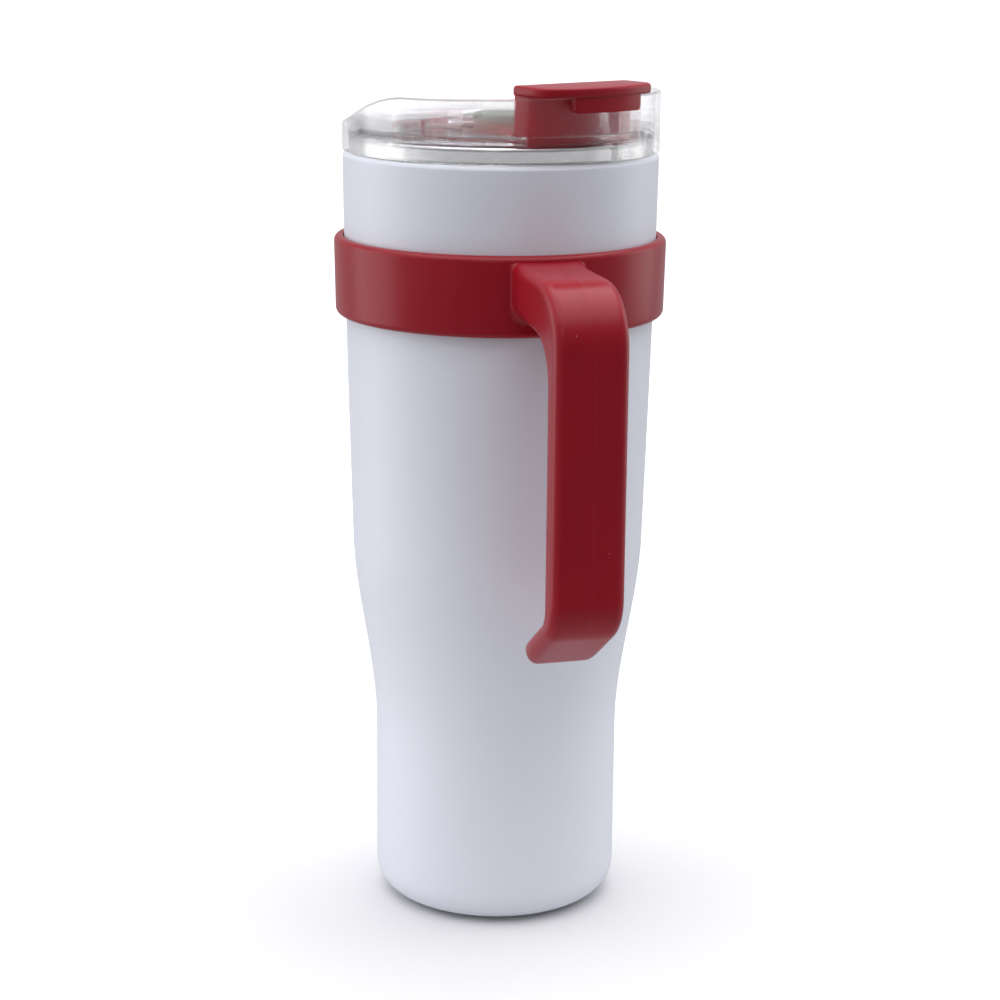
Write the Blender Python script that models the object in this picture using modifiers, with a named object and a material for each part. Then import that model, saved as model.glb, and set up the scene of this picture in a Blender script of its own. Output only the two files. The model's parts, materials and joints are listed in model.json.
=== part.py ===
"""Insulated travel mug: a double-wall steel body, a push-on handle ring and a clear lid with a flip cover.

Metres, +Z up. The origin is the centre of the foot pad's underside, on the mug's axis.
The handle points along +X. The lid is turned LID_TURN about the axis, and its flip cover runs from
the hinge behind the axis to the thumb tab in front of it.
"""
from math import asin, cos, degrees, pi, radians, sin, sqrt, tan

import bmesh
import bpy
from mathutils import Vector

# Body
BASE_R = 0.0394             # outer radius above the base corner
CORNER_R = 0.0097           # radius of the base corner
FLARE_LOW = 0.058           # height at which the cup-holder stem starts to widen
FLARE_HIGH = 0.124          # height at which the widening ends
FLARE_GAIN = 0.0075         # growth in radius over the widening
TAPER_GAIN = 0.0027         # further growth in radius up to the shoulder
TAPER_POWER = 1.3           # how early that growth happens
SHOULDER_Z = 0.2433         # top of the painted wall, below the shoulder
SHOULDER_R = 0.0015         # rounding of the shoulder
NECK_R = 0.0475             # outer radius of the bare neck inside the lid's skirt
NECK_TOP = 0.2490
FOOT_Z = 0.0004             # the steel foot ring stands this far above the pad's face
FOOT_R = 0.0272             # inner radius of the foot ring
FOOT_LIP_Z = 0.0030         # top of the turned-up edge of the foot ring
STEEL = 0.0006              # sheet thickness of both walls
WALL_GAP = 0.0022           # vacuum gap between the walls
LINER_NECK_R = 0.0464       # outer radius of the liner at the mouth
LIP_TOP = 0.2501            # top of the rolled drinking lip
LINER_FLOOR = 0.0092        # underside of the liner's floor
LINER_CORNER_R = 0.008
LINER_FLOOR_R = 0.0283      # the liner's floor disc is let into this hole
FOIL = 0.0003
FOIL_LOW = 0.022            # the foil lines the vacuum gap between these heights
FOIL_HIGH = 0.236
BASE_LOW = 0.0016           # the base disc, let into the foot ring
BASE_STEEL = 0.0008
DISH = 0.0014               # the base disc's centre is pressed up this far
DISH_R = 0.0040
BEAD_R = 0.0029             # bead of solder that seals the evacuating hole
PAD_R = 0.0268
PAD_TOP = 0.00125
GETTER_X = 0.014            # the getter cup's place on the base disc
GETTER_R = 0.0050
GAP = 0.0003                # clearance between pieces that touch
TURN_STEPS = 48             # facets round a large turned piece
LINER_STEPS = 40
SMALL_STEPS = 24

# Handle
BAND_LOW = 0.1939
BAND_HIGH = 0.2187
BAND_LOW_R = 0.0520
BAND_HIGH_R = 0.0525
BAND_ROOT_R = 0.0460        # the turned section and the arm start here, before the bore is cut
BAND_EDGE = 0.0018          # rounding of the band's outer edges
BAND_FIT = 0.00035          # clearance between the band and the body
GROOVE_LOW = 0.1975         # groove for the grip ring inside the band
GROOVE_HIGH = 0.2151
GROOVE_R = 0.05075
RING_WALL_R = 0.05045
GRIP_WIDTH = 0.0214
GRIP_EDGE = 0.0030
REACH = 0.0966              # outer face of the grip, from the axis
REACH_IN = 0.0864           # inner face of the grip
ARM_TOP = 0.2152
ARM_UNDER = 0.1988
ARM_RISE = 0.0018           # the arm's top rises this far towards the band
ARM_KNEE_X = 0.0600
OUTER_CORNER = 0.019
INNER_CORNER = 0.013
HOOK_BEND_Z = 0.1240        # centre height of the bend at the grip's lower end
HOOK_BEND_R = 0.016
HOOK_SLOPE = radians(33)
HOOK_TIP_X = 0.0712
HOOK_TIP_R = 0.0036
HOOK_ELBOW_R = 0.0065

# Lid
LID_TURN = radians(22.6)
SKIRT_R = 0.0497
SKIRT_IN_R = 0.0480
SKIRT_LOW = 0.2453
DECK_TOP = 0.2530
DECK = 0.0018               # thickness of the deck, the recess floor and the recess walls
PLUG_R = 0.0452
PLUG_WALL_R = 0.0436
PLUG_IN_R = 0.0420
PLUG_LOW = 0.2330
COLLAR_LOW = 0.2466         # the thicker collar under the deck ends here
SEAL_LOW = 0.2354           # groove for the gasket, between two flanges
SEAL_HIGH = 0.2403
FLANGE = 0.0012
SEAL_R = 0.0449             # outer radius of the gasket between its fins
FIN_R = 0.04535
FIN_HALF = 0.0005           # half thickness of a fin at its root
GUARD_HIGH = 0.2641
GUARD_LOW = 0.2541
GUARD_HIGH_ANGLE = radians(75)
GUARD_FALL_ANGLE = radians(50)
GUARD_WALL = 0.0016
RECESS_FLOOR = 0.2490
RECESS_HALF = 0.0208
RECESS_BACK = -0.0157
RECESS_R = 0.0440
STRAW_HOLE_R = 0.0076
VENT_X = 0.0240
VENT_R = 0.0014
SIP_BACK = 0.0340
SIP_FRONT = 0.0404
SIP_HALF = 0.0095
SIP_CORNER = 0.0024
SIP_PLAY = 0.0006           # clearance round the sip stopper's plug
GROMMET_R = 0.0092
GROMMET_BORE = 0.0050
GROMMET_FLANGE = 0.0008     # thickness of the grommet's flanges
STOPPER_TOP = 0.2575
STOPPER_RIM = 0.2512        # widest height of the stopper's dome
STOPPER_R = 0.0106
STOPPER_PLUG_R = 0.0046
STOPPER_PLUG_LOW = 0.2452

# Flip cover
HINGE_X = -0.0125
HINGE_Z = 0.2522
BARREL_R = 0.0026
KNUCKLE_R = 0.0027
KNUCKLE_IN = 0.0075           # the lid's two knuckles, to either side of the straw stopper
KNUCKLE_HALF = 0.0129
PIN_R = 0.00115
PIN_HOLE_R = 0.0015
PIN_HALF = 0.0199
PLATE_LOW = 0.2494
PLATE_TOP = 0.2525
PLATE_HALF = 0.0202
PLATE_FRONT_R = 0.0436
PLATE_CORNER = 0.0030
WINDOW_R = 0.0132
BLOCK_BACK = 0.0310
SLAB_LOW = 0.2650
SLAB_TOP = 0.2680
SLAB_HALF = 0.0226
SLAB_BACK = 0.0335
SLAB_FRONT_R = 0.0512
SLAB_CORNER = 0.0045
SLAB_EDGE = 0.0009          # rounding of the slab's and the tab's edges
TAB_LOW = 0.2604
TAB_HALF = 0.0125
TAB_IN_R = 0.0506
TAB_OUT_R = 0.0540
POCKET_BACK = 0.0336
POCKET_HALF = 0.0178
POCKET_FRONT_R = 0.0417
POCKET_TOP = 0.2625
POCKET_CORNER = 0.0020
VENT_SEAL_R = 0.0032
VENT_SEAT_TOP = 0.2513

RED = (0.46, 0.022, 0.040)
STEEL_GREY = (0.62, 0.62, 0.61)
CLEAR = (0.86, 0.88, 0.89)
SILICONE = (0.80, 0.82, 0.81)


def remove_startup_objects():
    for thing in list(bpy.data.objects):
        bpy.data.objects.remove(thing, do_unlink=True)


remove_startup_objects()
parts = bpy.data.collections.new("insulated_travel_mug")
cutters = bpy.data.collections.new("cutters")
bpy.context.scene.collection.children.link(parts)
bpy.context.scene.collection.children.link(cutters)


def empty(name, location=(0, 0, 0), parent=None, turn=0.0):
    """An empty on a joint's axis, which the moving pieces hang from."""
    axis = bpy.data.objects.new(name, None)
    axis.location = location
    axis.rotation_euler = (0, 0, turn)
    axis.parent = parent
    parts.objects.link(axis)
    return axis


def paint(thing, name, colour, roughness, metallic=0.0, alpha=1.0):
    mat = bpy.data.materials.new(name)
    mat.use_nodes = True
    shader = mat.node_tree.nodes["Principled BSDF"]
    shader.inputs["Base Color"].default_value = (*colour, 1.0)
    shader.inputs["Roughness"].default_value = roughness
    shader.inputs["Metallic"].default_value = metallic
    shader.inputs["Alpha"].default_value = alpha
    thing.data.materials.clear()
    thing.data.materials.append(mat)


def place(name, mesh, parent=None, cutter=False):
    """Make an object whose mesh is given in its parent's frame, or in the lid's frame for a hinged piece."""
    thing = bpy.data.objects.new(name, mesh)
    (cutters if cutter else parts).objects.link(thing)
    if parent is not None:
        thing.parent = parent
        if parent.name == "flip_axis":
            thing.location = -parent.location
    if cutter:
        thing.hide_render = True
        thing.display_type = "WIRE"
    return thing


def smooth(mesh):
    """Shade the round faces smooth and keep the corners crisp."""
    mesh.shade_smooth()
    mesh.set_sharp_from_angle(angle=radians(35))


def arc(centre, radius, start, end, steps):
    """Points on a circular arc, with the angles in degrees."""
    points = []
    for i in range(steps + 1):
        a = radians(start + (end - start) * i / steps)
        points.append((centre[0] + radius * cos(a), centre[1] + radius * sin(a)))
    return points


def levels(low, high, count):
    return [low + (high - low) * i / (count - 1) for i in range(count)]


def turned(name, profile, closed, parent=None, cutter=False, centre=(0, 0), steps=TURN_STEPS):
    """Turn a profile of (radius, height) points, running down its outer side, about a vertical axis."""
    mesh = bpy.data.meshes.new(name)
    bm = bmesh.new()
    verts = [bm.verts.new((r, 0, z)) for r, z in profile]
    for a, b in zip(verts, verts[1:]):
        bm.edges.new((a, b))
    if closed:
        bm.edges.new((verts[-1], verts[0]))
    bm.to_mesh(mesh)
    bm.free()
    thing = place(name, mesh, parent, cutter)
    thing.location = thing.location + Vector((centre[0], centre[1], 0))
    screw = thing.modifiers.new("turn", "SCREW")
    screw.axis = "Z"
    screw.angle = 2 * pi
    screw.steps = steps
    screw.render_steps = steps
    screw.use_merge_vertices = True
    screw.merge_threshold = 0.00001
    screw.use_smooth_shade = True
    return thing


def prism(name, outline, low, high, parent=None, cutter=False, upright=False):
    """Extrude a flat outline: between two heights, or, upright, from an (x, z) outline across y."""
    curve = bpy.data.curves.new(name, "CURVE")
    curve.dimensions = "2D"
    curve.fill_mode = "BOTH"
    curve.extrude = (high - low) / 2
    spline = curve.splines.new("POLY")
    spline.points.add(len(outline) - 1)
    for point, (a, b) in zip(spline.points, outline):
        point.co = (a, b, 0, 1)
    spline.use_cyclic_u = True
    drawn = bpy.data.objects.new(name + "_outline", curve)
    bpy.context.scene.collection.objects.link(drawn)
    if upright:
        drawn.rotation_euler = (pi / 2, 0, 0)
        drawn.location = (0, (high + low) / 2, 0)
    else:
        drawn.location = (0, 0, (high + low) / 2)
    bpy.context.view_layer.update()
    mesh = bpy.data.meshes.new_from_object(drawn.evaluated_get(bpy.context.evaluated_depsgraph_get()))
    mesh.transform(drawn.matrix_world)
    bpy.data.objects.remove(drawn)
    bm = bmesh.new()
    bm.from_mesh(mesh)
    bmesh.ops.remove_doubles(bm, verts=bm.verts, dist=0.000001)
    bmesh.ops.recalc_face_normals(bm, faces=bm.faces)
    bm.to_mesh(mesh)
    bm.free()
    mesh.materials.clear()
    smooth(mesh)
    return place(name, mesh, parent, cutter)


def cross_bar(name, radius, half, parent=None, cutter=False, side=0.0, steps=24):
    """A round bar along y on the hinge axis."""
    bm = bmesh.new()
    bmesh.ops.create_cone(bm, cap_ends=True, segments=steps, radius1=radius, radius2=radius, depth=2 * half)
    for v in bm.verts:
        v.co = Vector((v.co.x + HINGE_X, -v.co.z + side, v.co.y + HINGE_Z))
    mesh = bpy.data.meshes.new(name)
    bm.to_mesh(mesh)
    bm.free()
    smooth(mesh)
    return place(name, mesh, parent, cutter)


def combine(thing, other, operation):
    boolean = thing.modifiers.new(operation.lower() + "_" + other.name, "BOOLEAN")
    boolean.operation = operation
    boolean.object = other
    boolean.solver = "EXACT"


def round_edges(thing, width, segments, angle=40):
    bevel = thing.modifiers.new("rounding", "BEVEL")
    bevel.width = width
    bevel.segments = segments
    bevel.limit_method = "ANGLE"
    bevel.angle_limit = radians(angle)


def smoothstep(t):
    t = min(max(t, 0.0), 1.0)
    return t * t * (3 - 2 * t)


def body_radius(z):
    """Outer radius of the painted wall: a straight stem, a smooth widening and a slow taper."""
    flare = FLARE_GAIN * smoothstep((z - FLARE_LOW) / (FLARE_HIGH - FLARE_LOW))
    climb = min(max((z - FLARE_HIGH) / (SHOULDER_Z - FLARE_HIGH), 0.0), 1.0)
    return BASE_R + flare + TAPER_GAIN * (1 - (1 - climb) ** TAPER_POWER)


def wall(inset, low, high):
    """Points down the body's wall at a distance inside its outer face."""
    flare = levels(FLARE_LOW, FLARE_HIGH, 7)
    upper = levels(FLARE_HIGH + 0.030, high, 4)
    heights = [low] + flare + upper
    return [(body_radius(z) - inset, z) for z in reversed(heights)]


# ---------------------------------------------------------------- body
def make_outer_shell():
    top = body_radius(SHOULDER_Z)
    outer = [(NECK_R, NECK_TOP), (NECK_R, SHOULDER_Z + 0.0019)]
    outer += arc((top - SHOULDER_R, SHOULDER_Z), SHOULDER_R, 80, 25, 2)
    outer += wall(0.0, CORNER_R + FOOT_Z, SHOULDER_Z)
    outer += arc((BASE_R - CORNER_R, CORNER_R + FOOT_Z), CORNER_R, -15, -90, 5)
    outer += [(FOOT_R + 0.0006, FOOT_Z), (FOOT_R, FOOT_Z + 0.0006), (FOOT_R, FOOT_LIP_Z)]
    inner = [(FOOT_R + STEEL, FOOT_LIP_Z), (FOOT_R + STEEL, FOOT_Z + 0.0014)]
    inner += arc((BASE_R - CORNER_R, CORNER_R + FOOT_Z), CORNER_R - STEEL, -90, -18, 3)
    inner += list(reversed(wall(STEEL, CORNER_R + FOOT_Z, SHOULDER_Z)))
    inner += [(NECK_R - STEEL, SHOULDER_Z + 0.0012), (NECK_R - STEEL, NECK_TOP)]
    shell = turned("outer_shell", outer + inner, closed=True)
    paint(shell, "white_powder_coat", (0.80, 0.82, 0.86), 0.45)


def make_inner_liner():
    low = LINER_FLOOR + LINER_CORNER_R
    inset = STEEL + WALL_GAP
    corner = (BASE_R - inset - LINER_CORNER_R, low)

    def side(extra):
        return [(min(r, LINER_NECK_R - extra), z) for r, z in wall(inset + extra, low, SHOULDER_Z)]

    outer = [(NECK_R - 0.0004, LIP_TOP - 0.0001), (NECK_R, LIP_TOP - 0.0004), (NECK_R, NECK_TOP + GAP)]
    outer += [(LINER_NECK_R, NECK_TOP + GAP)] + side(0.0)
    outer += arc(corner, LINER_CORNER_R, -20, -90, 3) + [(LINER_FLOOR_R, LINER_FLOOR)]
    inner = [(LINER_FLOOR_R, LINER_FLOOR + STEEL)] + arc(corner, LINER_CORNER_R - STEEL, -90, -20, 3)
    inner += list(reversed(side(STEEL)))
    inner += [(LINER_NECK_R - STEEL, LIP_TOP - 0.0005), (LINER_NECK_R - STEEL / 2, LIP_TOP)]
    liner = turned("inner_liner", outer + inner, closed=True, steps=LINER_STEPS)
    paint(liner, "polished_steel", STEEL_GREY, 0.22, metallic=1.0)


def make_liner_floor():
    edge = LINER_FLOOR_R - GAP
    top = LINER_FLOOR + STEEL
    disc = turned("liner_floor", [(0, top), (edge, top), (edge, LINER_FLOOR), (0, LINER_FLOOR)], closed=False,
                  steps=SMALL_STEPS)
    paint(disc, "liner_floor_steel", STEEL_GREY, 0.28, metallic=1.0)


def make_radiation_foil():
    inset = STEEL + WALL_GAP - 2 * GAP
    outer = wall(inset - FOIL, FOIL_LOW, FOIL_HIGH)
    inner = list(reversed(wall(inset, FOIL_LOW, FOIL_HIGH)))
    foil = turned("radiation_foil", outer + inner, closed=True, steps=LINER_STEPS)
    paint(foil, "copper_foil", (0.72, 0.38, 0.22), 0.30, metallic=1.0)


def make_base():
    """The base disc with its dished centre, the solder bead in the dish, and the pad that covers both."""
    low, high, edge = BASE_LOW, BASE_LOW + BASE_STEEL, FOOT_R - GAP
    slope = 0.0020
    base = turned("outer_base", [(0, high + DISH), (DISH_R, high + DISH), (DISH_R + slope, high), (edge, high),
                                 (edge, low), (DISH_R + slope + BASE_STEEL / 2, low),
                                 (DISH_R + BASE_STEEL / 2, low + DISH), (0, low + DISH)],
                  closed=False, steps=SMALL_STEPS)
    paint(base, "base_steel", STEEL_GREY, 0.35, metallic=1.0)
    top, soft = low + DISH - GAP, 0.0005
    bead = turned("vacuum_seal_bead", [(0, top), (BEAD_R - soft, top), (BEAD_R, top - soft),
                                       (BEAD_R - soft, low + soft / 4), (0, low)], closed=False, steps=16)
    paint(bead, "sealing_solder", (0.45, 0.45, 0.47), 0.40, metallic=1.0)
    chamfer = 0.0003
    pad = turned("foot_pad", [(0, PAD_TOP), (PAD_R - chamfer, PAD_TOP), (PAD_R, PAD_TOP - chamfer),
                              (PAD_R, chamfer), (PAD_R - chamfer, 0), (0, 0)], closed=False, steps=LINER_STEPS)
    paint(pad, "foot_silicone", (0.55, 0.56, 0.58), 0.65)


def make_getter():
    """A gas-absorbing pellet in a small pressed cup on the base, inside the vacuum space."""
    cup_wall, rim = 0.0005, 0.0055
    low = BASE_LOW + BASE_STEEL + GAP
    inside = GETTER_R - cup_wall
    cup = turned("getter_cup", [(0, low + cup_wall), (inside, low + cup_wall), (inside, rim), (GETTER_R, rim),
                                (GETTER_R, low), (0, low)], closed=False, centre=(GETTER_X, 0), steps=20)
    paint(cup, "getter_cup_steel", STEEL_GREY, 0.35, metallic=1.0)
    chamfer = 0.0004
    edge, seat, top = inside - chamfer, low + cup_wall + GAP, rim + 0.0005
    pellet = turned("getter_pellet", [(0, top), (edge - chamfer, top), (edge, top - chamfer), (edge, seat),
                                      (0, seat)], closed=False, centre=(GETTER_X, 0), steps=20)
    paint(pellet, "getter_compound", (0.20, 0.20, 0.21), 0.80)


# ---------------------------------------------------------------- handle
def grip_outline():
    """Side outline of the grip in x and z: top arm, upright, and a free end hooked towards the body."""
    corner = (REACH - OUTER_CORNER, ARM_TOP - OUTER_CORNER + 0.0002)
    bend = (REACH - HOOK_BEND_R, HOOK_BEND_Z)
    slope = HOOK_SLOPE
    leave = (bend[0] + HOOK_BEND_R * cos(slope - pi / 2), bend[1] + HOOK_BEND_R * sin(slope - pi / 2))
    under_tip = (HOOK_TIP_X, leave[1] - (leave[0] - HOOK_TIP_X) * tan(slope))
    tip = (under_tip[0] - HOOK_TIP_R * sin(slope), under_tip[1] + HOOK_TIP_R * cos(slope))
    over = (tip[0] - HOOK_TIP_R * sin(slope), tip[1] + HOOK_TIP_R * cos(slope))
    elbow = HOOK_ELBOW_R
    elbow_x = REACH_IN - elbow
    rise = (elbow_x + elbow * sin(slope) - over[0]) * tan(slope)
    elbow_z = over[1] + rise + elbow * cos(slope)
    inner = (REACH_IN - INNER_CORNER, ARM_UNDER - INNER_CORNER)
    root = BAND_ROOT_R + 0.001
    points = [(root, ARM_TOP + ARM_RISE), (ARM_KNEE_X, ARM_TOP + ARM_RISE / 2)]
    points += arc(corner, OUTER_CORNER, 92, 0, 8)
    lean = 90 - degrees(slope)
    points += arc(bend, HOOK_BEND_R, 0, -lean, 5)
    points += arc(tip, HOOK_TIP_R, -lean, -lean - 180, 6)
    points += arc((elbow_x, elbow_z), elbow, -lean, 0, 4)
    points += arc(inner, INNER_CORNER, 0, 90, 6)
    points.append((root, ARM_UNDER + ARM_RISE / 3))
    return points


def make_handle():
    axis = empty("handle_axis")
    edge = BAND_EDGE
    section = [(BAND_ROOT_R, BAND_HIGH), (BAND_HIGH_R - edge, BAND_HIGH)]
    section += arc((BAND_HIGH_R - edge, BAND_HIGH - edge), edge, 60, 0, 2)
    section += arc((BAND_LOW_R - edge, BAND_LOW + edge), edge, 0, -60, 2)
    section += [(BAND_LOW_R - edge, BAND_LOW), (BAND_ROOT_R, BAND_LOW)]
    handle = turned("handle", section, closed=True, parent=axis)
    half = GRIP_WIDTH / 2
    grip = prism("grip", grip_outline(), -half, half, parent=axis, cutter=True, upright=True)
    round_edges(grip, GRIP_EDGE, 3, angle=60)
    combine(handle, grip, "UNION")
    below, above = BAND_LOW - 0.004, BAND_HIGH + 0.004
    bore = turned("band_bore", [(0, above), (body_radius(above) + BAND_FIT, above),
                                (body_radius(GROOVE_HIGH) + BAND_FIT, GROOVE_HIGH), (GROOVE_R, GROOVE_HIGH),
                                (GROOVE_R, GROOVE_LOW), (body_radius(GROOVE_LOW) + BAND_FIT, GROOVE_LOW),
                                (body_radius(below) + BAND_FIT, below), (0, below)],
                  closed=False, parent=axis, cutter=True)
    combine(handle, bore, "DIFFERENCE")
    paint(handle, "handle_red", RED, 0.42)

    low, high = GROOVE_LOW + GAP, GROOVE_HIGH - GAP
    ring = turned("handle_grip_ring", [(RING_WALL_R, high), (RING_WALL_R, low),
                                       (body_radius(low) + BAND_FIT, low), (body_radius(high) + BAND_FIT, high)],
                  closed=True, parent=axis)
    paint(ring, "grip_ring_silicone", (0.30, 0.02, 0.03), 0.70)


# ---------------------------------------------------------------- lid
def tongue_outline(half, back, front_r, corner, steps=10):
    """A strip of the lid across the axis: straight sides, a straight back and a round front."""
    swing = asin((half - corner) / (front_r - corner))
    corner_x, corner_y = (front_r - corner) * cos(swing), half - corner
    swing = degrees(swing)
    right = arc((corner_x, -corner_y), corner, -90, -swing, 3)
    left = arc((corner_x, corner_y), corner, swing, 90, 3)
    return [(back, -half)] + right + arc((0, 0), front_r, -swing, swing, steps)[1:-1] + left + [(back, half)]


def rounded_slot(back, front, half, corner):
    """A rounded rectangle that lies across the lid."""
    points = []
    for x, y, start in ((front, half, 0), (back, half, 90), (back, -half, 180), (front, -half, 270)):
        cx = x - corner if x == front else x + corner
        cy = y - corner if y > 0 else y + corner
        points += arc((cx, cy), corner, start, start + 90, 3)
    return points


def guard_height(angle):
    """Height of the splash guard at an angle from the thumb tab: high in front, low behind."""
    fall = smoothstep((angle - GUARD_HIGH_ANGLE) / GUARD_FALL_ANGLE)
    return GUARD_HIGH + (GUARD_LOW - GUARD_HIGH) * fall


def make_guard_trim(axis):
    """Everything above the splash guard's falling top edge, drawn from the side and cut across the lid."""
    angles = levels(GUARD_HIGH_ANGLE, GUARD_HIGH_ANGLE + GUARD_FALL_ANGLE, 11)
    edge = [(SKIRT_R * cos(a), guard_height(a)) for a in angles]
    margin, start_x = 0.003, edge[0][0] + 0.001
    top, behind = GUARD_HIGH + margin, -SKIRT_R - margin
    outline = [(start_x, top), (start_x, GUARD_HIGH + GAP)] + edge[1:]
    outline += [(behind, GUARD_LOW), (behind, top)]
    width = SKIRT_R + margin
    return prism("guard_trim", outline, -width, width, parent=axis, cutter=True, upright=True)


def make_lid_body(axis):
    low = SKIRT_LOW
    under = DECK_TOP - DECK
    guard_in = SKIRT_R - GUARD_WALL
    chamfer = 0.0004
    profile = [(0, DECK_TOP), (guard_in, DECK_TOP), (guard_in, GUARD_HIGH), (SKIRT_R, GUARD_HIGH),
               (SKIRT_R, low + chamfer), (SKIRT_R - chamfer, low), (SKIRT_IN_R, low), (SKIRT_IN_R, under),
               (PLUG_R, under), (PLUG_R, COLLAR_LOW), (PLUG_WALL_R, COLLAR_LOW - 2 * chamfer)]
    for top in (SEAL_HIGH + FLANGE, SEAL_LOW):
        profile += [(PLUG_WALL_R, top), (PLUG_R, top), (PLUG_R, top - FLANGE)]
        if top > SEAL_HIGH:
            profile.append((PLUG_WALL_R, SEAL_HIGH))
    profile += [(PLUG_WALL_R + FLANGE / 2, PLUG_LOW), (PLUG_IN_R, PLUG_LOW), (PLUG_IN_R, under), (0, under)]
    lid = turned("lid_body", profile, closed=False, parent=axis)
    combine(lid, make_guard_trim(axis), "DIFFERENCE")

    tray_low = RECESS_FLOOR - DECK
    outline = tongue_outline(RECESS_HALF + DECK, RECESS_BACK - DECK, PLUG_R - GAP, PLATE_CORNER + DECK)
    tray = prism("tray", outline, tray_low, DECK_TOP - GAP, parent=axis, cutter=True)
    combine(lid, tray, "UNION")
    margin = 0.002
    recess = prism("recess", tongue_outline(RECESS_HALF, RECESS_BACK, RECESS_R, PLATE_CORNER), RECESS_FLOOR,
                   DECK_TOP + margin, parent=axis, cutter=True)
    combine(lid, recess, "DIFFERENCE")
    web_half = KNUCKLE_R - GAP
    middle, knuckle_half = (KNUCKLE_IN + KNUCKLE_HALF) / 2, (KNUCKLE_HALF - KNUCKLE_IN) / 2
    for name, side in (("left", middle), ("right", -middle)):
        low_y, high_y = side - knuckle_half, side + knuckle_half
        web = prism("knuckle_web_" + name, [(HINGE_X - web_half, low_y), (HINGE_X + web_half, low_y),
                                            (HINGE_X + web_half, high_y), (HINGE_X - web_half, high_y)],
                    RECESS_FLOOR - DECK / 2, HINGE_Z, parent=axis, cutter=True)
        combine(lid, web, "UNION")
        knuckle = cross_bar("knuckle_" + name, KNUCKLE_R, knuckle_half - 0.0001, parent=axis, cutter=True,
                            side=side)
        combine(lid, knuckle, "UNION")
    combine(lid, cross_bar("lid_pin_hole", PIN_HOLE_R, PIN_HALF, parent=axis, cutter=True), "DIFFERENCE")

    hole_low, hole_high = tray_low - margin, RECESS_FLOOR + margin
    straw = turned("straw_hole", [(0, hole_high), (STRAW_HOLE_R, hole_high), (STRAW_HOLE_R, hole_low),
                                  (0, hole_low)], closed=False, parent=axis, cutter=True, steps=32)
    vent = turned("vent_hole", [(0, hole_high), (VENT_R, hole_high), (VENT_R, hole_low), (0, hole_low)],
                  closed=False, parent=axis, cutter=True, centre=(VENT_X, 0), steps=16)
    sip = prism("sip_hole", rounded_slot(SIP_BACK, SIP_FRONT, SIP_HALF, SIP_CORNER), tray_low - margin / 2,
                hole_high, parent=axis, cutter=True)
    for hole in (straw, vent, sip):
        combine(lid, hole, "DIFFERENCE")
    paint(lid, "clear_plastic", CLEAR, 0.06, alpha=0.30)


def make_lid_fittings(axis):
    low, high, root = SEAL_LOW + GAP, SEAL_HIGH - GAP, PLUG_WALL_R + GAP
    section = [(SEAL_R, high)]
    for z in (high - (high - low) / 3, low + (high - low) / 3):
        section += [(SEAL_R, z + FIN_HALF), (FIN_R, z + FIN_HALF / 2), (FIN_R, z - FIN_HALF / 2),
                    (SEAL_R, z - FIN_HALF)]
    section += [(SEAL_R, low), (root, low), (root, high)]
    gasket = turned("lid_gasket", section, closed=True, parent=axis)
    paint(gasket, "gasket_silicone", SILICONE, 0.55, alpha=0.85)

    neck, chamfer = STRAW_HOLE_R - GAP, 0.0005
    above, below = RECESS_FLOOR + GAP, RECESS_FLOOR - DECK - GAP
    top, low = above + GROMMET_FLANGE, below - GROMMET_FLANGE
    section = [(GROMMET_R, top), (GROMMET_R, above), (neck, above), (neck, below), (GROMMET_R - chamfer, below),
               (GROMMET_R - 2 * chamfer, low), (GROMMET_BORE, low), (GROMMET_BORE, top)]
    grommet = turned("straw_grommet", section, closed=True, parent=axis, steps=32)
    paint(grommet, "grommet_silicone", SILICONE, 0.55, alpha=0.85)

    pin = cross_bar("hinge_pin", PIN_R, PIN_HALF, parent=axis, steps=16)
    paint(pin, "pin_steel", STEEL_GREY, 0.25, metallic=1.0)


def make_straw_stopper(axis):
    """A domed cap that is gripped between finger and thumb, with a plug for the grommet."""
    rise, soft = STOPPER_TOP - STOPPER_RIM, 0.0005
    under = RECESS_FLOOR + GROMMET_FLANGE + 2 * GAP
    dome = [(STOPPER_R * sin(radians(a)), STOPPER_RIM + rise * cos(radians(a))) for a in (20, 40, 60, 80)]
    section = [(0, STOPPER_TOP)] + dome + [(STOPPER_R, STOPPER_RIM - soft), (STOPPER_R - soft, under),
                                           (STOPPER_PLUG_R, under), (STOPPER_PLUG_R, STOPPER_PLUG_LOW + soft),
                                           (STOPPER_PLUG_R - soft, STOPPER_PLUG_LOW), (0, STOPPER_PLUG_LOW)]
    stopper = turned("straw_stopper", section, closed=False, parent=axis, steps=32)
    paint(stopper, "stopper_silicone", SILICONE, 0.50, alpha=0.9)


# ---------------------------------------------------------------- flip cover
def ring_sector(inner, outer, half):
    """A strip between two radii, of a given half width, across the thumb tab."""
    far, near = degrees(asin(half / outer)), degrees(asin(half / inner))
    return arc((0, 0), outer, -far, far, 6) + arc((0, 0), inner, near, -near, 6)


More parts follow.
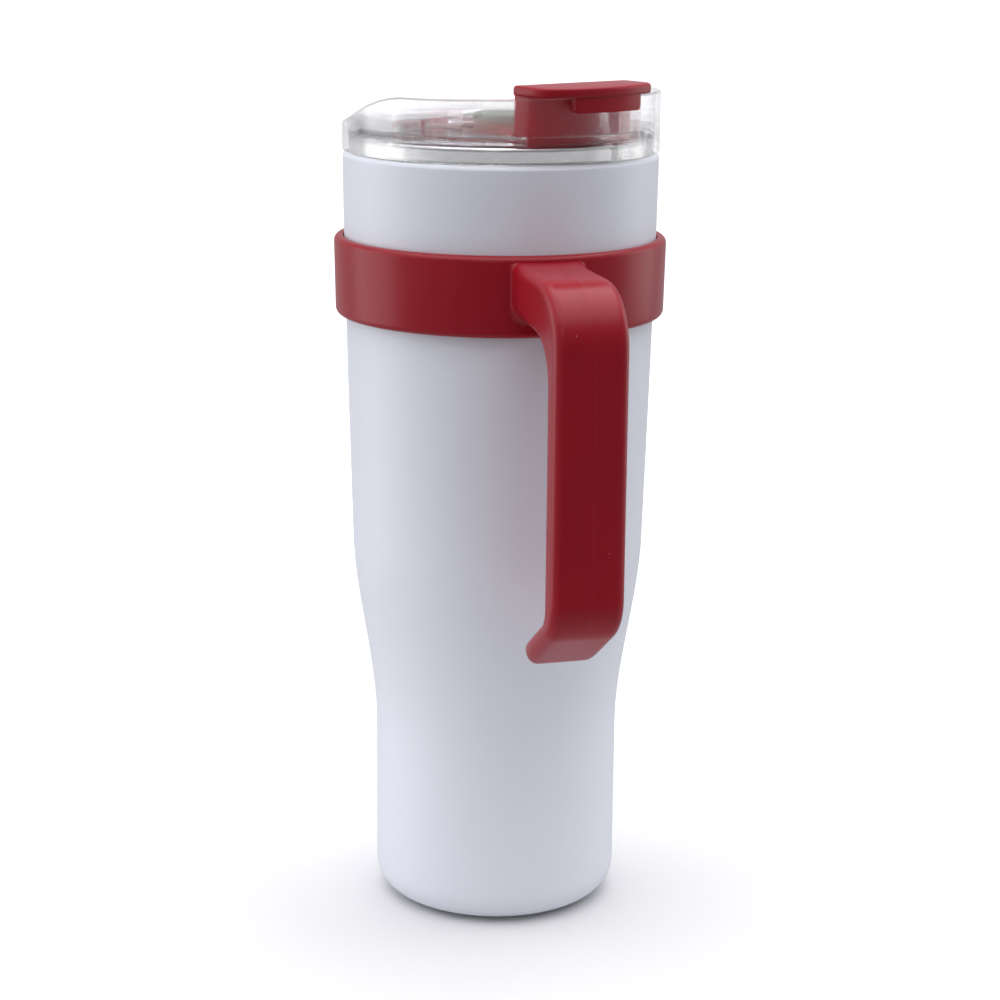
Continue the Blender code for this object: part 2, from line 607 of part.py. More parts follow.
def make_flap(axis):
    flap = prism("flip_cover", tongue_outline(PLATE_HALF, HINGE_X, PLATE_FRONT_R, PLATE_CORNER), PLATE_LOW,
                 PLATE_TOP, parent=axis)
    block = prism("block", tongue_outline(PLATE_HALF, BLOCK_BACK, PLATE_FRONT_R, PLATE_CORNER),
                  PLATE_LOW + GAP, SLAB_LOW + GAP, parent=axis, cutter=True)
    slab = prism("slab", tongue_outline(SLAB_HALF, SLAB_BACK, SLAB_FRONT_R, SLAB_CORNER), SLAB_LOW, SLAB_TOP,
                 parent=axis, cutter=True)
    tab = prism("thumb_tab", ring_sector(TAB_IN_R, TAB_OUT_R, TAB_HALF), TAB_LOW, SLAB_TOP, parent=axis,
                cutter=True)
    round_edges(slab, SLAB_EDGE, 2, angle=50)
    round_edges(tab, SLAB_EDGE, 2, angle=50)
    for piece in (block, slab, tab):
        combine(flap, piece, "UNION")
    barrel_half = (PLATE_HALF - KNUCKLE_HALF - 2 * GAP) / 2
    for name, sign in (("left", 1), ("right", -1)):
        side = sign * (PLATE_HALF - barrel_half - 0.00005)
        barrel = cross_bar("barrel_" + name, BARREL_R, barrel_half, parent=axis, cutter=True, side=side)
        combine(flap, barrel, "UNION")

    margin = 0.002
    low, high = PLATE_LOW - margin, PLATE_TOP + margin
    window = turned("window", [(0, high), (WINDOW_R, high), (WINDOW_R, low), (0, low)], closed=False,
                    parent=axis, cutter=True)
    back, front = HINGE_X - BARREL_R - margin, HINGE_X + KNUCKLE_R + 3 * GAP
    half = KNUCKLE_HALF + GAP
    notch = prism("notch", [(back, -half), (front, -half), (front, half), (back, half)], low, high + margin,
                  parent=axis, cutter=True)
    pocket = prism("pocket", tongue_outline(POCKET_HALF, POCKET_BACK, POCKET_FRONT_R, POCKET_CORNER), low,
                   POCKET_TOP, parent=axis, cutter=True)
    seat_r = VENT_SEAL_R + GAP
    seat = turned("vent_seat", [(0, VENT_SEAT_TOP), (seat_r, VENT_SEAT_TOP), (seat_r, low), (0, low)],
                  closed=False, parent=axis, cutter=True, centre=(VENT_X, 0), steps=20)
    bore = cross_bar("flap_pin_hole", PIN_HOLE_R, PIN_HALF + margin, parent=axis, cutter=True)
    for cutter in (window, notch, pocket, seat, bore):
        combine(flap, cutter, "DIFFERENCE")
    paint(flap, "cover_red", RED, 0.38)


def make_flap_seals(axis):
    flange = tongue_outline(POCKET_HALF - GAP, POCKET_BACK + GAP, POCKET_FRONT_R - GAP, POCKET_CORNER)
    low = PLATE_LOW + 0.0002
    stopper = prism("sip_stopper", flange, low, low + 0.0025, parent=axis)
    outline = rounded_slot(SIP_BACK + SIP_PLAY, SIP_FRONT - SIP_PLAY, SIP_HALF - SIP_PLAY, SIP_CORNER - SIP_PLAY)
    plug = prism("sip_plug", outline, RECESS_FLOOR - DECK - 0.0008, low + 0.0008, parent=axis, cutter=True)
    combine(stopper, plug, "UNION")
    paint(stopper, "sip_silicone", SILICONE, 0.55)
    top, low, soft = VENT_SEAT_TOP - GAP, RECESS_FLOOR + GAP, 0.0004
    seal = turned("vent_seal", [(0, top), (VENT_SEAL_R, top), (VENT_SEAL_R, low + soft),
                                (VENT_SEAL_R - soft, low), (0, low)],
                  closed=False, parent=axis, centre=(VENT_X, 0), steps=20)
    paint(seal, "vent_silicone", SILICONE, 0.55)


make_outer_shell()
make_inner_liner()
make_liner_floor()
make_radiation_foil()
make_base()
make_getter()
make_handle()
lid_axis = empty("lid_axis", turn=LID_TURN)
make_lid_body(lid_axis)
make_lid_fittings(lid_axis)
make_straw_stopper(lid_axis)
flip_axis = empty("flip_axis", location=(HINGE_X, 0, HINGE_Z), parent=lid_axis)
make_flap(flip_axis)
make_flap_seals(flip_axis)
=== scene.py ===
"""Insulated travel mug: the finished surfaces and materials of each piece, and a small studio for it.

Laid out as an add-on, with sizes and colours in property groups and one operator for each piece or pair of
like pieces. Metres, +Z up; the mug stands on z = 0 and the handle points along +X. The lid's pieces are
modelled with the flip cover along +X and then turned to the lid's place.
"""

import json
from math import asin, atan2, cos, degrees, hypot, pi, radians, sin, sqrt, tan

import bmesh
import bpy
from bpy.props import FloatProperty, FloatVectorProperty, IntProperty, PointerProperty
from bpy.types import Operator, Panel, PropertyGroup
from mathutils import Matrix, Vector


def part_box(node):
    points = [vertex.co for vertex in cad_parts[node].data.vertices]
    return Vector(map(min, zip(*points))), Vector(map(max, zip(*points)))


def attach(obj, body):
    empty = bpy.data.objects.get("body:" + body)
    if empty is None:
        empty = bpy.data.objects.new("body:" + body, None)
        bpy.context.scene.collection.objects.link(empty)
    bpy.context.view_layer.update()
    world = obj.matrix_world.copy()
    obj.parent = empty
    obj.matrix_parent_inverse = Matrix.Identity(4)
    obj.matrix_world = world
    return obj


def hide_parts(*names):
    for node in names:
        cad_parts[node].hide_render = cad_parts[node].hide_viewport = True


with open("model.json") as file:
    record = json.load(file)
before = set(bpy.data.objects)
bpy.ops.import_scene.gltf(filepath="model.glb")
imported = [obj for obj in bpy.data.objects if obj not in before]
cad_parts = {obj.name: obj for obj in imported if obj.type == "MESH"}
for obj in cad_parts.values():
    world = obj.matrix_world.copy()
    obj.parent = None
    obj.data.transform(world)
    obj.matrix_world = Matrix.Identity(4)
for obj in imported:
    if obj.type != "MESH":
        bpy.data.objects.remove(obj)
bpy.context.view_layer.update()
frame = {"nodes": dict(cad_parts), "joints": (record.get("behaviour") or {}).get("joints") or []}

bl_info = {
    "name": "Insulated Travel Mug",
    "version": (1, 0, 0),
    "blender": (4, 5, 0),
    "location": "View3D > Sidebar > Mug",
    "description": "Builds an insulated travel mug with a handle ring and a clear flip lid",
    "category": "Object",
}

MM = 0.001
MERGE = 0.002 * MM  # points closer than this become one
NEAR = 0.01 * MM  # tolerance for picking points by their place

# Steel body
SHELL_LOW, SHELL_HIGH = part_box("outer_shell")
FOOT_Z = SHELL_LOW.z  # the foot ring's lowest edge
NECK_TOP = SHELL_HIGH.z
TAPER_TOP_R = SHELL_HIGH.x  # outer radius just below the shoulder
NECK_R = 47.5 * MM
BASE_R = 39.4 * MM
CORNER_R = 9.7 * MM  # radius of the base corner
FLARE_LOW = 58 * MM  # the wall widens between these heights
FLARE_HIGH = 124 * MM
FLARE_GAIN = 7.5 * MM
TAPER_POWER = 1.3
SHOULDER_Z = 243.3 * MM
SHOULDER_R = 1.5 * MM
TAPER_GAIN = TAPER_TOP_R - BASE_R - FLARE_GAIN
STEEL = 0.6 * MM
WALL_GAP = 2.2 * MM
FOOT_R = 27.2 * MM  # inner radius of the foot ring
FOOT_LIP_Z = 3.0 * MM
GAP = 0.3 * MM  # clearance between pieces that touch
LIP_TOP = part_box("inner_liner")[1].z
LINER_NECK_R = 46.4 * MM
LINER_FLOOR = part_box("liner_floor")[0].z
LINER_CORNER_R = 8 * MM
LINER_FLOOR_R = 28.3 * MM

# Handle
HANDLE_LOW, HANDLE_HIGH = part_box("handle")
BAND_HIGH = HANDLE_HIGH.z
BAND_LOW = 193.9 * MM
BAND_HIGH_R = HANDLE_HIGH.y
BAND_LOW_R = BAND_HIGH_R - 0.5 * MM
BAND_FIT = 0.35 * MM
RING_LOW, RING_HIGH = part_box("handle_grip_ring")
GROOVE_LOW = RING_LOW.z - GAP
GROOVE_HIGH = RING_HIGH.z + GAP
GROOVE_R = RING_HIGH.x + GAP
GRIP_HALF = 11.3 * MM
REACH = HANDLE_HIGH.x  # outer face of the grip, from the axis
REACH_IN = 86.4 * MM
ARM_TOP = 215.2 * MM
ARM_UNDER = 198.8 * MM
HOOK_CORNER_Z = 115.3 * MM  # where the grip's outer face and the hook's underside would meet
HOOK_SLOPE = radians(33)
HOOK_LENGTH = 33.9 * MM
HOOK_THICK = 7.2 * MM
HOOK_END_R = 6 * MM  # rounding of the hook's end, seen from above
ARM_ROOT = BAND_LOW_R - 2 * MM  # the arm starts inside the ring
ARM_LAND = 78 * MM  # the arm's underside is level across from here outwards
ARM_BELLY = 4.6 * MM  # how far the underside's edges rise at the ring
PARTING_HALF = 0.14 * MM
PARTING_HIGH = 0.04 * MM

# Lid, with the flip cover along +X
HINGE = next(joint for joint in frame["joints"] if joint["name"] == "cover_flip")
HINGE_X = -Vector(HINGE["pos_m"]).xy.length
HINGE_Z = HINGE["pos_m"][2]
LID_TURN = atan2(HINGE["axis"][0], -HINGE["axis"][1])
LID_LOW, LID_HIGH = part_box("lid_body")
SKIRT_R = LID_HIGH.x
SKIRT_IN_R = 48.0 * MM
SKIRT_LOW = 245.3 * MM
DECK_TOP = 253.0 * MM
DECK = 1.8 * MM
PLUG_R = 45.2 * MM
PLUG_WALL_R = 43.6 * MM
PLUG_IN_R = 42.0 * MM
PLUG_LOW = LID_LOW.z
COLLAR_LOW = 246.6 * MM
SEAL_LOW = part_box("lid_gasket")[0].z - GAP
SEAL_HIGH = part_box("lid_gasket")[1].z + GAP
SEAL_R = 44.9 * MM
FIN_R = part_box("lid_gasket")[1].x
FLANGE = 1.2 * MM
GUARD_HIGH = LID_HIGH.z
GUARD_LOW = 254.1 * MM
GUARD_CROWN = 0.5 * MM  # the guard's further rise at the thumb tab
GUARD_HIGH_ANGLE = radians(75)
GUARD_FALL_ANGLE = radians(50)
GUARD_WALL = 1.6 * MM
RECESS_FLOOR = 249.0 * MM
RECESS_HALF = 20.8 * MM
RECESS_BACK = HINGE_X - 3.2 * MM
RECESS_R = 44.0 * MM
RECESS_CORNER = 3.0 * MM
STRAW_HOLE_R = 7.6 * MM
VENT_X = 24.0 * MM
VENT_R = 1.4 * MM
SIP_BACK = 34.0 * MM
SIP_FRONT = 40.4 * MM
SIP_HALF = 9.5 * MM
SIP_CORNER = 2.4 * MM
SIP_PLAY = 0.6 * MM

# Flip cover
PLATE_LOW = 249.4 * MM
PLATE_TOP = 252.5 * MM
PLATE_HALF = 20.2 * MM
PLATE_FRONT_R = 43.6 * MM
WINDOW_R = 13.2 * MM
BLOCK_BACK = 30.2 * MM
SLAB_LOW = 265.0 * MM
SLAB_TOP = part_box("flip_cover")[1].z
SLAB_HALF = 22.3 * MM
SLAB_BACK = 33.5 * MM
SLAB_FRONT_R = 52.8 * MM
SLAB_CORNER = 8.0 * MM
SLAB_SIDE = -0.7 * MM  # the slab sits this far off the cover's middle
TAB_LOW = 260.4 * MM
TAB_HALF = 12.8 * MM
TAB_IN_R = 50.3 * MM
TAB_OUT_R = 52.3 * MM
POCKET_BACK = 33.6 * MM
POCKET_HALF = 17.8 * MM
POCKET_FRONT_R = 41.7 * MM
POCKET_CORNER = 2.0 * MM
POCKET_TOP = 262.5 * MM
BARREL_R = 2.6 * MM
KNUCKLE_R = 2.7 * MM
KNUCKLE_IN = 7.5 * MM  # the lid's two knuckles stand between these distances
KNUCKLE_OUT = 12.9 * MM
PIN_R = 1.15 * MM
PIN_HOLE_R = 1.5 * MM
PIN_HALF = 19.9 * MM
VENT_SEAL_R = 3.2 * MM
VENT_SEAT_TOP = 251.3 * MM

# Stoppers and grommet
GROMMET_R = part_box("straw_grommet")[1].x
GROMMET_BORE = 5.0 * MM
GROMMET_FLANGE = 0.8 * MM
STOPPER_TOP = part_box("straw_stopper")[1].z
STOPPER_RIM = 251.2 * MM
STOPPER_R = 10.6 * MM
STOPPER_PLUG_R = 4.6 * MM
STOPPER_PLUG_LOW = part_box("straw_stopper")[0].z

# Camera
CAMERA_AZIMUTH = radians(-16.2)  # from the handle's direction, seen from above
CAMERA_AWAY = 772.3 * MM  # level distance from the mug's axis
CAMERA_HEIGHT = 320.9 * MM
CAMERA_PITCH = radians(13.75)
CAMERA_ROLL = 0.009
CAMERA_LENS = 88.15
CAMERA_SHIFT = 0.0023

# Studio light
DARK_SIDE = radians(16)  # the dark side of the studio, from the camera's direction
SKY_SIDES = 0.50
SKY_FRONT = 0.20
SKY_TOP = 2.0
SKY_TINT = (0.97, 0.955, 1.0, 1.0)
# The floor's glow fades out towards the mug: a painted shadow round its foot.
FLOOR_GLOW = 0.36  # away from the mug; under it the floor has none
NEAR_FLOOR_R = 220 * MM  # the floor this near the mug lights it
FAR_FLOOR_R = 60.0
LAMP_AIM = 130 * MM
LAMPS = (  # name, azimuth and elevation in degrees, distance, size, power
    ("left_softbox", -95, 8, 0.9, (0.7, 0.9), 2.85),
    ("right_softbox", 112, 14, 1.0, (0.6, 0.9), 1.95),
    ("top_softbox", 150, 70, 1.0, (0.8, 0.8), 1.5),
    ("front_lamp", -8, 30, 1.2, (0.10, 0.10), 0.30),
    ("corner_lamp", -55, 42, 1.2, (0.10, 0.10), 0.4),
)


class MugSizes(PropertyGroup):
    turn_steps: IntProperty(
        name="Turning steps", description="Facets round a large turned piece", default=192, min=48, max=256)
    edge: FloatProperty(
        name="Moulded edge", description="Rounding of the flip cover's edges", default=1.1 * MM,
        subtype="DISTANCE", unit="LENGTH")
    grip_edge: FloatProperty(
        name="Grip edge", description="Rounding of the grip's long edges", default=3.3 * MM,
        subtype="DISTANCE", unit="LENGTH")
    band_edge: FloatProperty(
        name="Band edge", description="Rounding of the handle ring's outer edges", default=1.9 * MM,
        subtype="DISTANCE", unit="LENGTH")
    root_fillet: FloatProperty(
        name="Root fillet", description="Fillet where the grip's arm meets the handle ring", default=1.8 * MM,
        subtype="DISTANCE", unit="LENGTH")
    coat_grain: FloatProperty(
        name="Coat grain", description="Grain size of the powder coat", default=0.45 * MM,
        subtype="DISTANCE", unit="LENGTH")


class MugColours(PropertyGroup):
    coat: FloatVectorProperty(
        name="Powder coat", description="Colour of the painted wall", subtype="COLOR", size=3,
        default=(0.755, 0.79, 0.86))
    red: FloatVectorProperty(
        name="Moulded red", description="Colour of the handle and the flip cover", subtype="COLOR", size=3,
        default=(0.30, 0.004, 0.013))
    clear: FloatVectorProperty(
        name="Clear lid", description="Tint of the clear plastic", subtype="COLOR", size=3,
        default=(0.96, 0.97, 0.985))
    silicone: FloatVectorProperty(
        name="Silicone", description="Colour of the seals and stoppers", subtype="COLOR", size=3,
        default=(0.70, 0.76, 0.70))
    steel: FloatVectorProperty(
        name="Steel", description="Colour of bare steel", subtype="COLOR", size=3, default=(0.62, 0.62, 0.61))
    floor: FloatVectorProperty(
        name="Floor", description="Colour of the studio floor", subtype="COLOR", size=3,
        default=(0.70, 0.70, 0.70))


# ---- shader maths
class Value:
    """A node's output. Arithmetic on it adds Math nodes."""

    def __init__(self, finish, socket):
        self.finish = finish
        self.socket = socket

    def maths(self, operation, first, second):
        return self.finish.add("ShaderNodeMath", {"operation": operation}, {0: first, 1: second})

    def __add__(self, other):
        return self.maths("ADD", self, other)

    def __radd__(self, other):
        return self.maths("ADD", other, self)

    def __mul__(self, other):
        return self.maths("MULTIPLY", self, other)

    def __rmul__(self, other):
        return self.maths("MULTIPLY", other, self)


class Shading:
    """A node tree under construction: add makes a node, and a constant goes straight to a socket."""

    def __init__(self, tree):
        self.tree = tree

    def put(self, socket, value):
        if isinstance(value, Value):
            self.tree.links.new(value.socket, socket)
        elif hasattr(value, "__len__") and socket.type == "RGBA" and len(value) == 3:
            socket.default_value = (*value, 1.0)
        else:
            socket.default_value = value

    def add(self, kind, settings=None, sockets=None, out=0):
        """A node of a kind, with its settings (a ramp's stops among them) and the values of its sockets."""
        node = self.tree.nodes.new(kind)
        for name, value in (settings or {}).items():
            if name == "stops":
                for stop, (position, level) in zip(node.color_ramp.elements, value):
                    stop.position = position
                    stop.color = (level, level, level, 1.0)
            else:
                setattr(node, name, value)
        for name, value in (sockets or {}).items():
            self.put(node.inputs[name], value)
        return Value(self, node.outputs[out])

    def vector(self, operation, *values, out="Value"):
        return self.add("ShaderNodeVectorMath", {"operation": operation}, dict(enumerate(values)), out)

    def ramp(self, value, start, end, low, high):
        return self.add("ShaderNodeMapRange", None, {"Value": value, "From Min": start, "From Max": end,
                                                     "To Min": low, "To Max": high}, "Result")


class Finish(Shading):
    """A material: constants go to the shader when it is made, and set links what varies over the surface."""

    def __init__(self, name, **constants):
        self.material = bpy.data.materials.new(name)
        self.material.use_nodes = True
        super().__init__(self.material.node_tree)
        self.shader = self.tree.nodes["Principled BSDF"]
        for socket, value in constants.items():
            self.put(self.shader.inputs[socket.replace("_", " ")], value)
        self.place = self.add("ShaderNodeTexCoord", out="Object")

    def noise(self, size, detail=2.0, stretch=(1.0, 1.0, 1.0)):
        """Noise whose features are about size across, stretched by a factor along each axis."""
        scale = tuple(1.0 / (size * s) for s in stretch)
        spot = self.add("ShaderNodeMapping", None, {"Vector": self.place, "Scale": scale}, "Vector")
        return self.add("ShaderNodeTexNoise", None, {"Vector": spot, "Scale": 1.0, "Detail": detail}, "Fac")

    def specks(self, size, share):
        """A mask of sparse round specks, size apart and share of that across."""
        spot = self.add("ShaderNodeMapping", None, {"Vector": self.place, "Scale": (1 / size,) * 3}, "Vector")
        near = self.add("ShaderNodeTexVoronoi", None, {"Vector": spot, "Scale": 1.0}, "Distance")
        return self.ramp(near, share * 0.7, share, 1.0, 0.0)

    def mixed(self, amount, first, second):
        """A colour between two, by an amount."""
        settings = {"data_type": "RGBA"}
        return self.add("ShaderNodeMix", settings, {"Factor": amount, "A": first, "B": second}, "Result")

    def shaded(self, amount, colour, low, high):
        """A colour that varies by an amount between two strengths of itself."""
        return self.mixed(amount, *(tuple(min(c * factor, 1.0) for c in colour) for factor in (low, high)))

    def bump(self, height, depth, strength=1.0, under=None):
        sockets = {"Height": height, "Distance": depth, "Strength": strength}
        if under is not None:
            sockets["Normal"] = under
        return self.add("ShaderNodeBump", None, sockets, "Normal")

    def set(self, **links):
        for socket, value in links.items():
            self.put(self.shader.inputs[socket.replace("_", " ")], value)
        return self.material


def colours():
    return bpy.context.scene.mug_colours


def powder_coat(colour, grain):
    """Fine textured powder paint, with a soft sheen that sparkles on its grains."""
    f = Finish("powder_coat", IOR=1.5, Specular_IOR_Level=0.55, Coat_Roughness=0.22)
    fine = f.noise(grain, 3.0)
    peel = f.noise(2.4 * MM, 1.0)
    cloud = f.noise(60 * MM, 2.0)
    base = f.shaded(cloud, colour, 0.985, 1.015)
    normal = f.bump(fine, 0.05 * MM, 0.55, f.bump(peel, 0.03 * MM, 0.5))
    return f.set(Base_Color=base, Roughness=0.36 + 0.16 * fine, Coat_Weight=0.15 * fine, Normal=normal)


def satin_red(name, colour):
    """Satin moulded plastic with a spark-eroded grain, faint flow marks and a few dust specks."""
    f = Finish(name, IOR=1.49, Specular_IOR_Level=0.32)
    grain = f.noise(0.32 * MM, 2.0)
    flow = f.noise(14 * MM, 2.0, (1.0, 1.0, 2.5))
    dust = f.specks(7 * MM, 0.022)
    base = f.shaded(flow, colour, 0.90, 1.10)
    dusty = f.mixed(dust * 0.6, base, (0.85, 0.70, 0.68))
    rough = 0.22 + 0.10 * grain + 0.06 * flow
    normal = f.bump(grain, 0.02 * MM, 0.45, f.bump(flow, 0.10 * MM, 0.25))
    return f.set(Base_Color=dusty, Roughness=rough, Normal=normal)


def clear_plastic(colour):
    """Polished clear plastic with faint waviness and a trace of finger haze."""
    f = Finish("clear_plastic", Base_Color=colour, IOR=1.40, Transmission_Weight=1.0, Alpha=0.44)
    wave = f.noise(9 * MM, 1.0)
    haze = f.noise(18 * MM, 3.0)
    return f.set(Roughness=0.01 + 0.03 * haze, Normal=f.bump(wave, 0.12 * MM, 0.30))


def silicone(name, colour, clarity):
    """Soft translucent silicone with a dull dusty skin."""
    f = Finish(name, IOR=1.41, Transmission_Weight=clarity, Subsurface_Weight=0.25, Subsurface_Scale=2 * MM,
               Sheen_Weight=0.15)
    skin = f.noise(0.6 * MM, 2.0)
    cloud = f.noise(8 * MM, 2.0)
    base = f.shaded(cloud, colour, 0.94, 1.05)
    return f.set(Base_Color=base, Roughness=0.42 + 0.18 * skin, Normal=f.bump(skin, 0.02 * MM, 0.4))


def brushed_steel(name, roughness, lines):
    """Steel brushed round the axis: lines a fraction of a millimetre wide at constant height."""
    f = Finish(name, Metallic=1.0)
    strokes = f.noise(lines, 2.0, (60.0, 60.0, 1.0))
    haze = f.noise(12 * MM, 2.0)
    base = f.shaded(strokes, colours().steel, 0.88, 1.10)
    rough = roughness - 0.06 + 0.14 * strokes + 0.05 * haze
    return f.set(Base_Color=base, Roughness=rough, Normal=f.bump(strokes, 0.01 * MM, 0.5))


def ringed_steel(name, roughness, lines):
    """Steel turned or brushed in rings about the axis, for discs."""
    f = Finish(name, Metallic=1.0)
    radius = f.vector("LENGTH", f.vector("MULTIPLY", f.place, (1.0, 1.0, 0.0), out="Vector"))
    sockets = {"W": radius * (1 / lines), "Detail": 3.0}
    rings = f.add("ShaderNodeTexNoise", {"noise_dimensions": "1D"}, sockets)
    base = f.shaded(rings, colours().steel, 0.86, 1.12)
    return f.set(Base_Color=base, Roughness=roughness - 0.05 + 0.14 * rings,
                 Normal=f.bump(rings, 0.01 * MM, 0.6))


def crinkled_copper():
    """Thin copper foil with fine creases from wrapping."""
    f = Finish("copper_foil", Metallic=1.0)
    crease = f.noise(4 * MM, 4.0, (1.0, 1.0, 2.0))
    tarnish = f.noise(20 * MM, 3.0)
    base = f.mixed(tarnish, (0.80, 0.42, 0.26), (0.62, 0.30, 0.18))
    return f.set(Base_Color=base, Roughness=0.22 + 0.20 * crease, Normal=f.bump(crease, 0.25 * MM, 0.8))


def pressed_powder():
    """Dark pressed powder, grainy and dull."""
    f = Finish("getter_compound")
    grain = f.noise(0.3 * MM, 4.0)
    base = f.mixed(grain, (0.08, 0.08, 0.085), (0.22, 0.22, 0.23))
    return f.set(Base_Color=base, Roughness=0.75 + 0.15 * grain, Normal=f.bump(grain, 0.08 * MM, 0.8))


def dull_solder():
    """A frozen bead of solder: rippled and slightly dull."""
    f = Finish("sealing_solder", Metallic=1.0)
    ripple = f.noise(1.2 * MM, 2.0)
    base = f.mixed(ripple, (0.40, 0.40, 0.42), (0.56, 0.56, 0.58))
    return f.set(Base_Color=base, Roughness=0.30 + 0.20 * ripple, Normal=f.bump(ripple, 0.15 * MM, 0.6))


def matt_rubber(name, colour):
    """Matt silicone rubber with a moulded grain and a dusting of scuffs."""
    f = Finish(name, Specular_IOR_Level=0.35)
    grain = f.noise(0.5 * MM, 3.0)
    scuff = f.noise(9 * MM, 4.0, (1.0, 3.0, 1.0))
    base = f.shaded(scuff, colour, 0.88, 1.12)
    return f.set(Base_Color=base, Roughness=0.58 + 0.2 * grain, Normal=f.bump(grain, 0.04 * MM, 0.5))


def studio_floor(colour):
    """Seamless pale studio floor with a barely visible tooth, that glows a little away from the mug; its glow
    fades to none towards the mug, a painted shadow round the foot.
    """
    f = Finish("studio_floor", Emission_Strength=1.0)
    tooth = f.noise(3 * MM, 3.0)
    base = f.shaded(tooth, colour, 0.995, 1.005)
    radius = f.vector("LENGTH", f.place)
    # Painted shadow: no glow near the mug's foot, full glow further out.
    away = f.ramp(radius, BASE_R, 1.7 * NEAR_FLOOR_R, 0.0, 1.0)
    return f.set(Base_Color=base, Roughness=0.62 + 0.05 * tooth,
                 Emission_Color=f.mixed(away, (0.0,) * 3, (FLOOR_GLOW,) * 3))


# ---- outlines
def smoothstep(t):
    t = min(max(t, 0.0), 1.0)
    return t * t * (3 - 2 * t)


def body_radius(z):
    """Outer radius of the painted wall: a straight stem, a smooth widening and a slow taper."""
    flare = FLARE_GAIN * smoothstep((z - FLARE_LOW) / (FLARE_HIGH - FLARE_LOW))
    climb = min(max((z - FLARE_HIGH) / (SHOULDER_Z - FLARE_HIGH), 0.0), 1.0)
    return BASE_R + flare + TAPER_GAIN * (1 - (1 - climb) ** TAPER_POWER)


def spread(low, high, count):
    return [low + (high - low) * i / (count - 1) for i in range(count)]


def wall(inset, low, high, count=44):
    """Points down the body's wall at a distance inside its outer face."""
    return [(body_radius(z) - inset, z) for z in spread(high, low, count)]


def arc(centre, radius, start, end, steps):
    """Points on a circular arc, with the angles in degrees."""
    angles = [radians(a) for a in spread(start, end, steps + 1)]
    return [(centre[0] + radius * cos(a), centre[1] + radius * sin(a)) for a in angles]


def rounded(corners, steps=5, closed=True):
    """Points round an outline of (a, b) or (a, b, radius) corners: each radius becomes an arc."""
    points = []
    count = len(corners)
    for i, corner in enumerate(corners):
        here = Vector(corner[:2])
        radius = corner[2] if len(corner) > 2 else 0.0
        if radius == 0.0 or (not closed and i in (0, count - 1)):
            points.append(tuple(here))
            continue
        back = (Vector(corners[i - 1][:2]) - here).normalized()
        ahead = (Vector(corners[(i + 1) % count][:2]) - here).normalized()
        half = back.angle(ahead) / 2
        centre = here + (back + ahead).normalized() * radius / sin(half)
        first = here + back * radius / tan(half) - centre
        turn = (pi - 2 * half) * (1 if back.x * ahead.y - back.y * ahead.x < 0 else -1)
        start = atan2(first.y, first.x)
        for t in spread(0.0, turn, steps + 1):
            spot = (centre.x + radius * cos(start + t), centre.y + radius * sin(start + t))
            if not points or hypot(spot[0] - points[-1][0], spot[1] - points[-1][1]) > MERGE:
                points.append(spot)
    return points


def tongue(half, back, front_r, corner, back_corner=0.0, steps=24):
    """A strip of the lid across the axis: straight sides, a straight back and a round front."""
    swing = asin((half - corner) / (front_r - corner))
    middle = ((front_r - corner) * cos(swing), half - corner)
    swing = degrees(swing)
    rear = [(back, half, back_corner), (back, -half, back_corner)]
    sides = rounded([(middle[0], half)] + rear + [(middle[0], -half)], 4, closed=False)
    right = arc((middle[0], -middle[1]), corner, -90, -swing, 6)
    left = arc(middle, corner, swing, 90, 6)
    return sides[1:-1] + right + arc((0, 0), front_r, -swing, swing, steps)[1:-1] + left


def slot(back, front, half, corner):
    """A rounded rectangle that lies across the lid."""
    corners = [(back, -half, corner), (front, -half, corner), (front, half, corner), (back, half, corner)]
    return rounded(corners, 6)


# ---- mesh tools
def rotate(bm, angle, axis):
    bmesh.ops.rotate(bm, verts=bm.verts, cent=(0, 0, 0), matrix=Matrix.Rotation(angle, 3, axis))


def mend(bm):
    bmesh.ops.remove_doubles(bm, verts=bm.verts, dist=MERGE)
    bmesh.ops.recalc_face_normals(bm, faces=bm.faces)
    return bm


def turned(profile, closed, steps=None, x=0.0):
    """Spin a profile of (radius, height) points about a vertical axis that stands at x."""
    steps = steps or bpy.context.scene.mug_sizes.turn_steps
    bm = bmesh.new()
    verts = [bm.verts.new((r, 0, z)) for r, z in profile]
    pairs = list(zip(verts, verts[1:]))
    if closed:
        pairs.append((verts[-1], verts[0]))
    edges = [bm.edges.new(pair) for pair in pairs]
    bmesh.ops.spin(bm, geom=verts + edges, cent=(0, 0, 0), axis=(0, 0, 1), dvec=(0, 0, 0), angle=2 * pi,
                   steps=steps, use_merge=True, use_duplicate=False)
    mend(bm)
    bmesh.ops.translate(bm, verts=bm.verts, vec=(x, 0, 0))
    return bm


def spun(corners, arc_steps, steps=None, x=0.0):
    """A solid of revolution from outline corners that start and end on its axis."""
    return turned(rounded(corners, arc_steps, closed=False), False, steps, x)


def cylinder(radius, low, high, steps, x=0.0):
    return turned([(0, high), (radius, high), (radius, low), (0, low)], False, steps, x)


def extruded(outline, low, high):
    """A prism: a flat outline raised from one height to another."""
    bm = bmesh.new()
    face = bm.faces.new([bm.verts.new((x, y, low)) for x, y in outline])
    grown = bmesh.ops.extrude_face_region(bm, geom=[face])
    raised = [v for v in grown["geom"] if isinstance(v, bmesh.types.BMVert)]
    bmesh.ops.translate(bm, verts=raised, vec=(0, 0, high - low))
    return mend(bm)


def cross_bar(radius, half, side=0.0, chamfer=0.0):
    """A round bar on the hinge's axis."""
    bm = bmesh.new()
    bmesh.ops.create_cone(bm, cap_ends=True, segments=48, radius1=radius, radius2=radius, depth=2 * half)
    if chamfer:
        rims = [e for e in bm.edges if abs(e.verts[0].co.z - e.verts[1].co.z) < GAP]
        soften(bm, rims, chamfer, 3)
    rotate(bm, pi / 2, "X")
    bmesh.ops.translate(bm, verts=bm.verts, vec=(HINGE_X, side, HINGE_Z))
    return bm


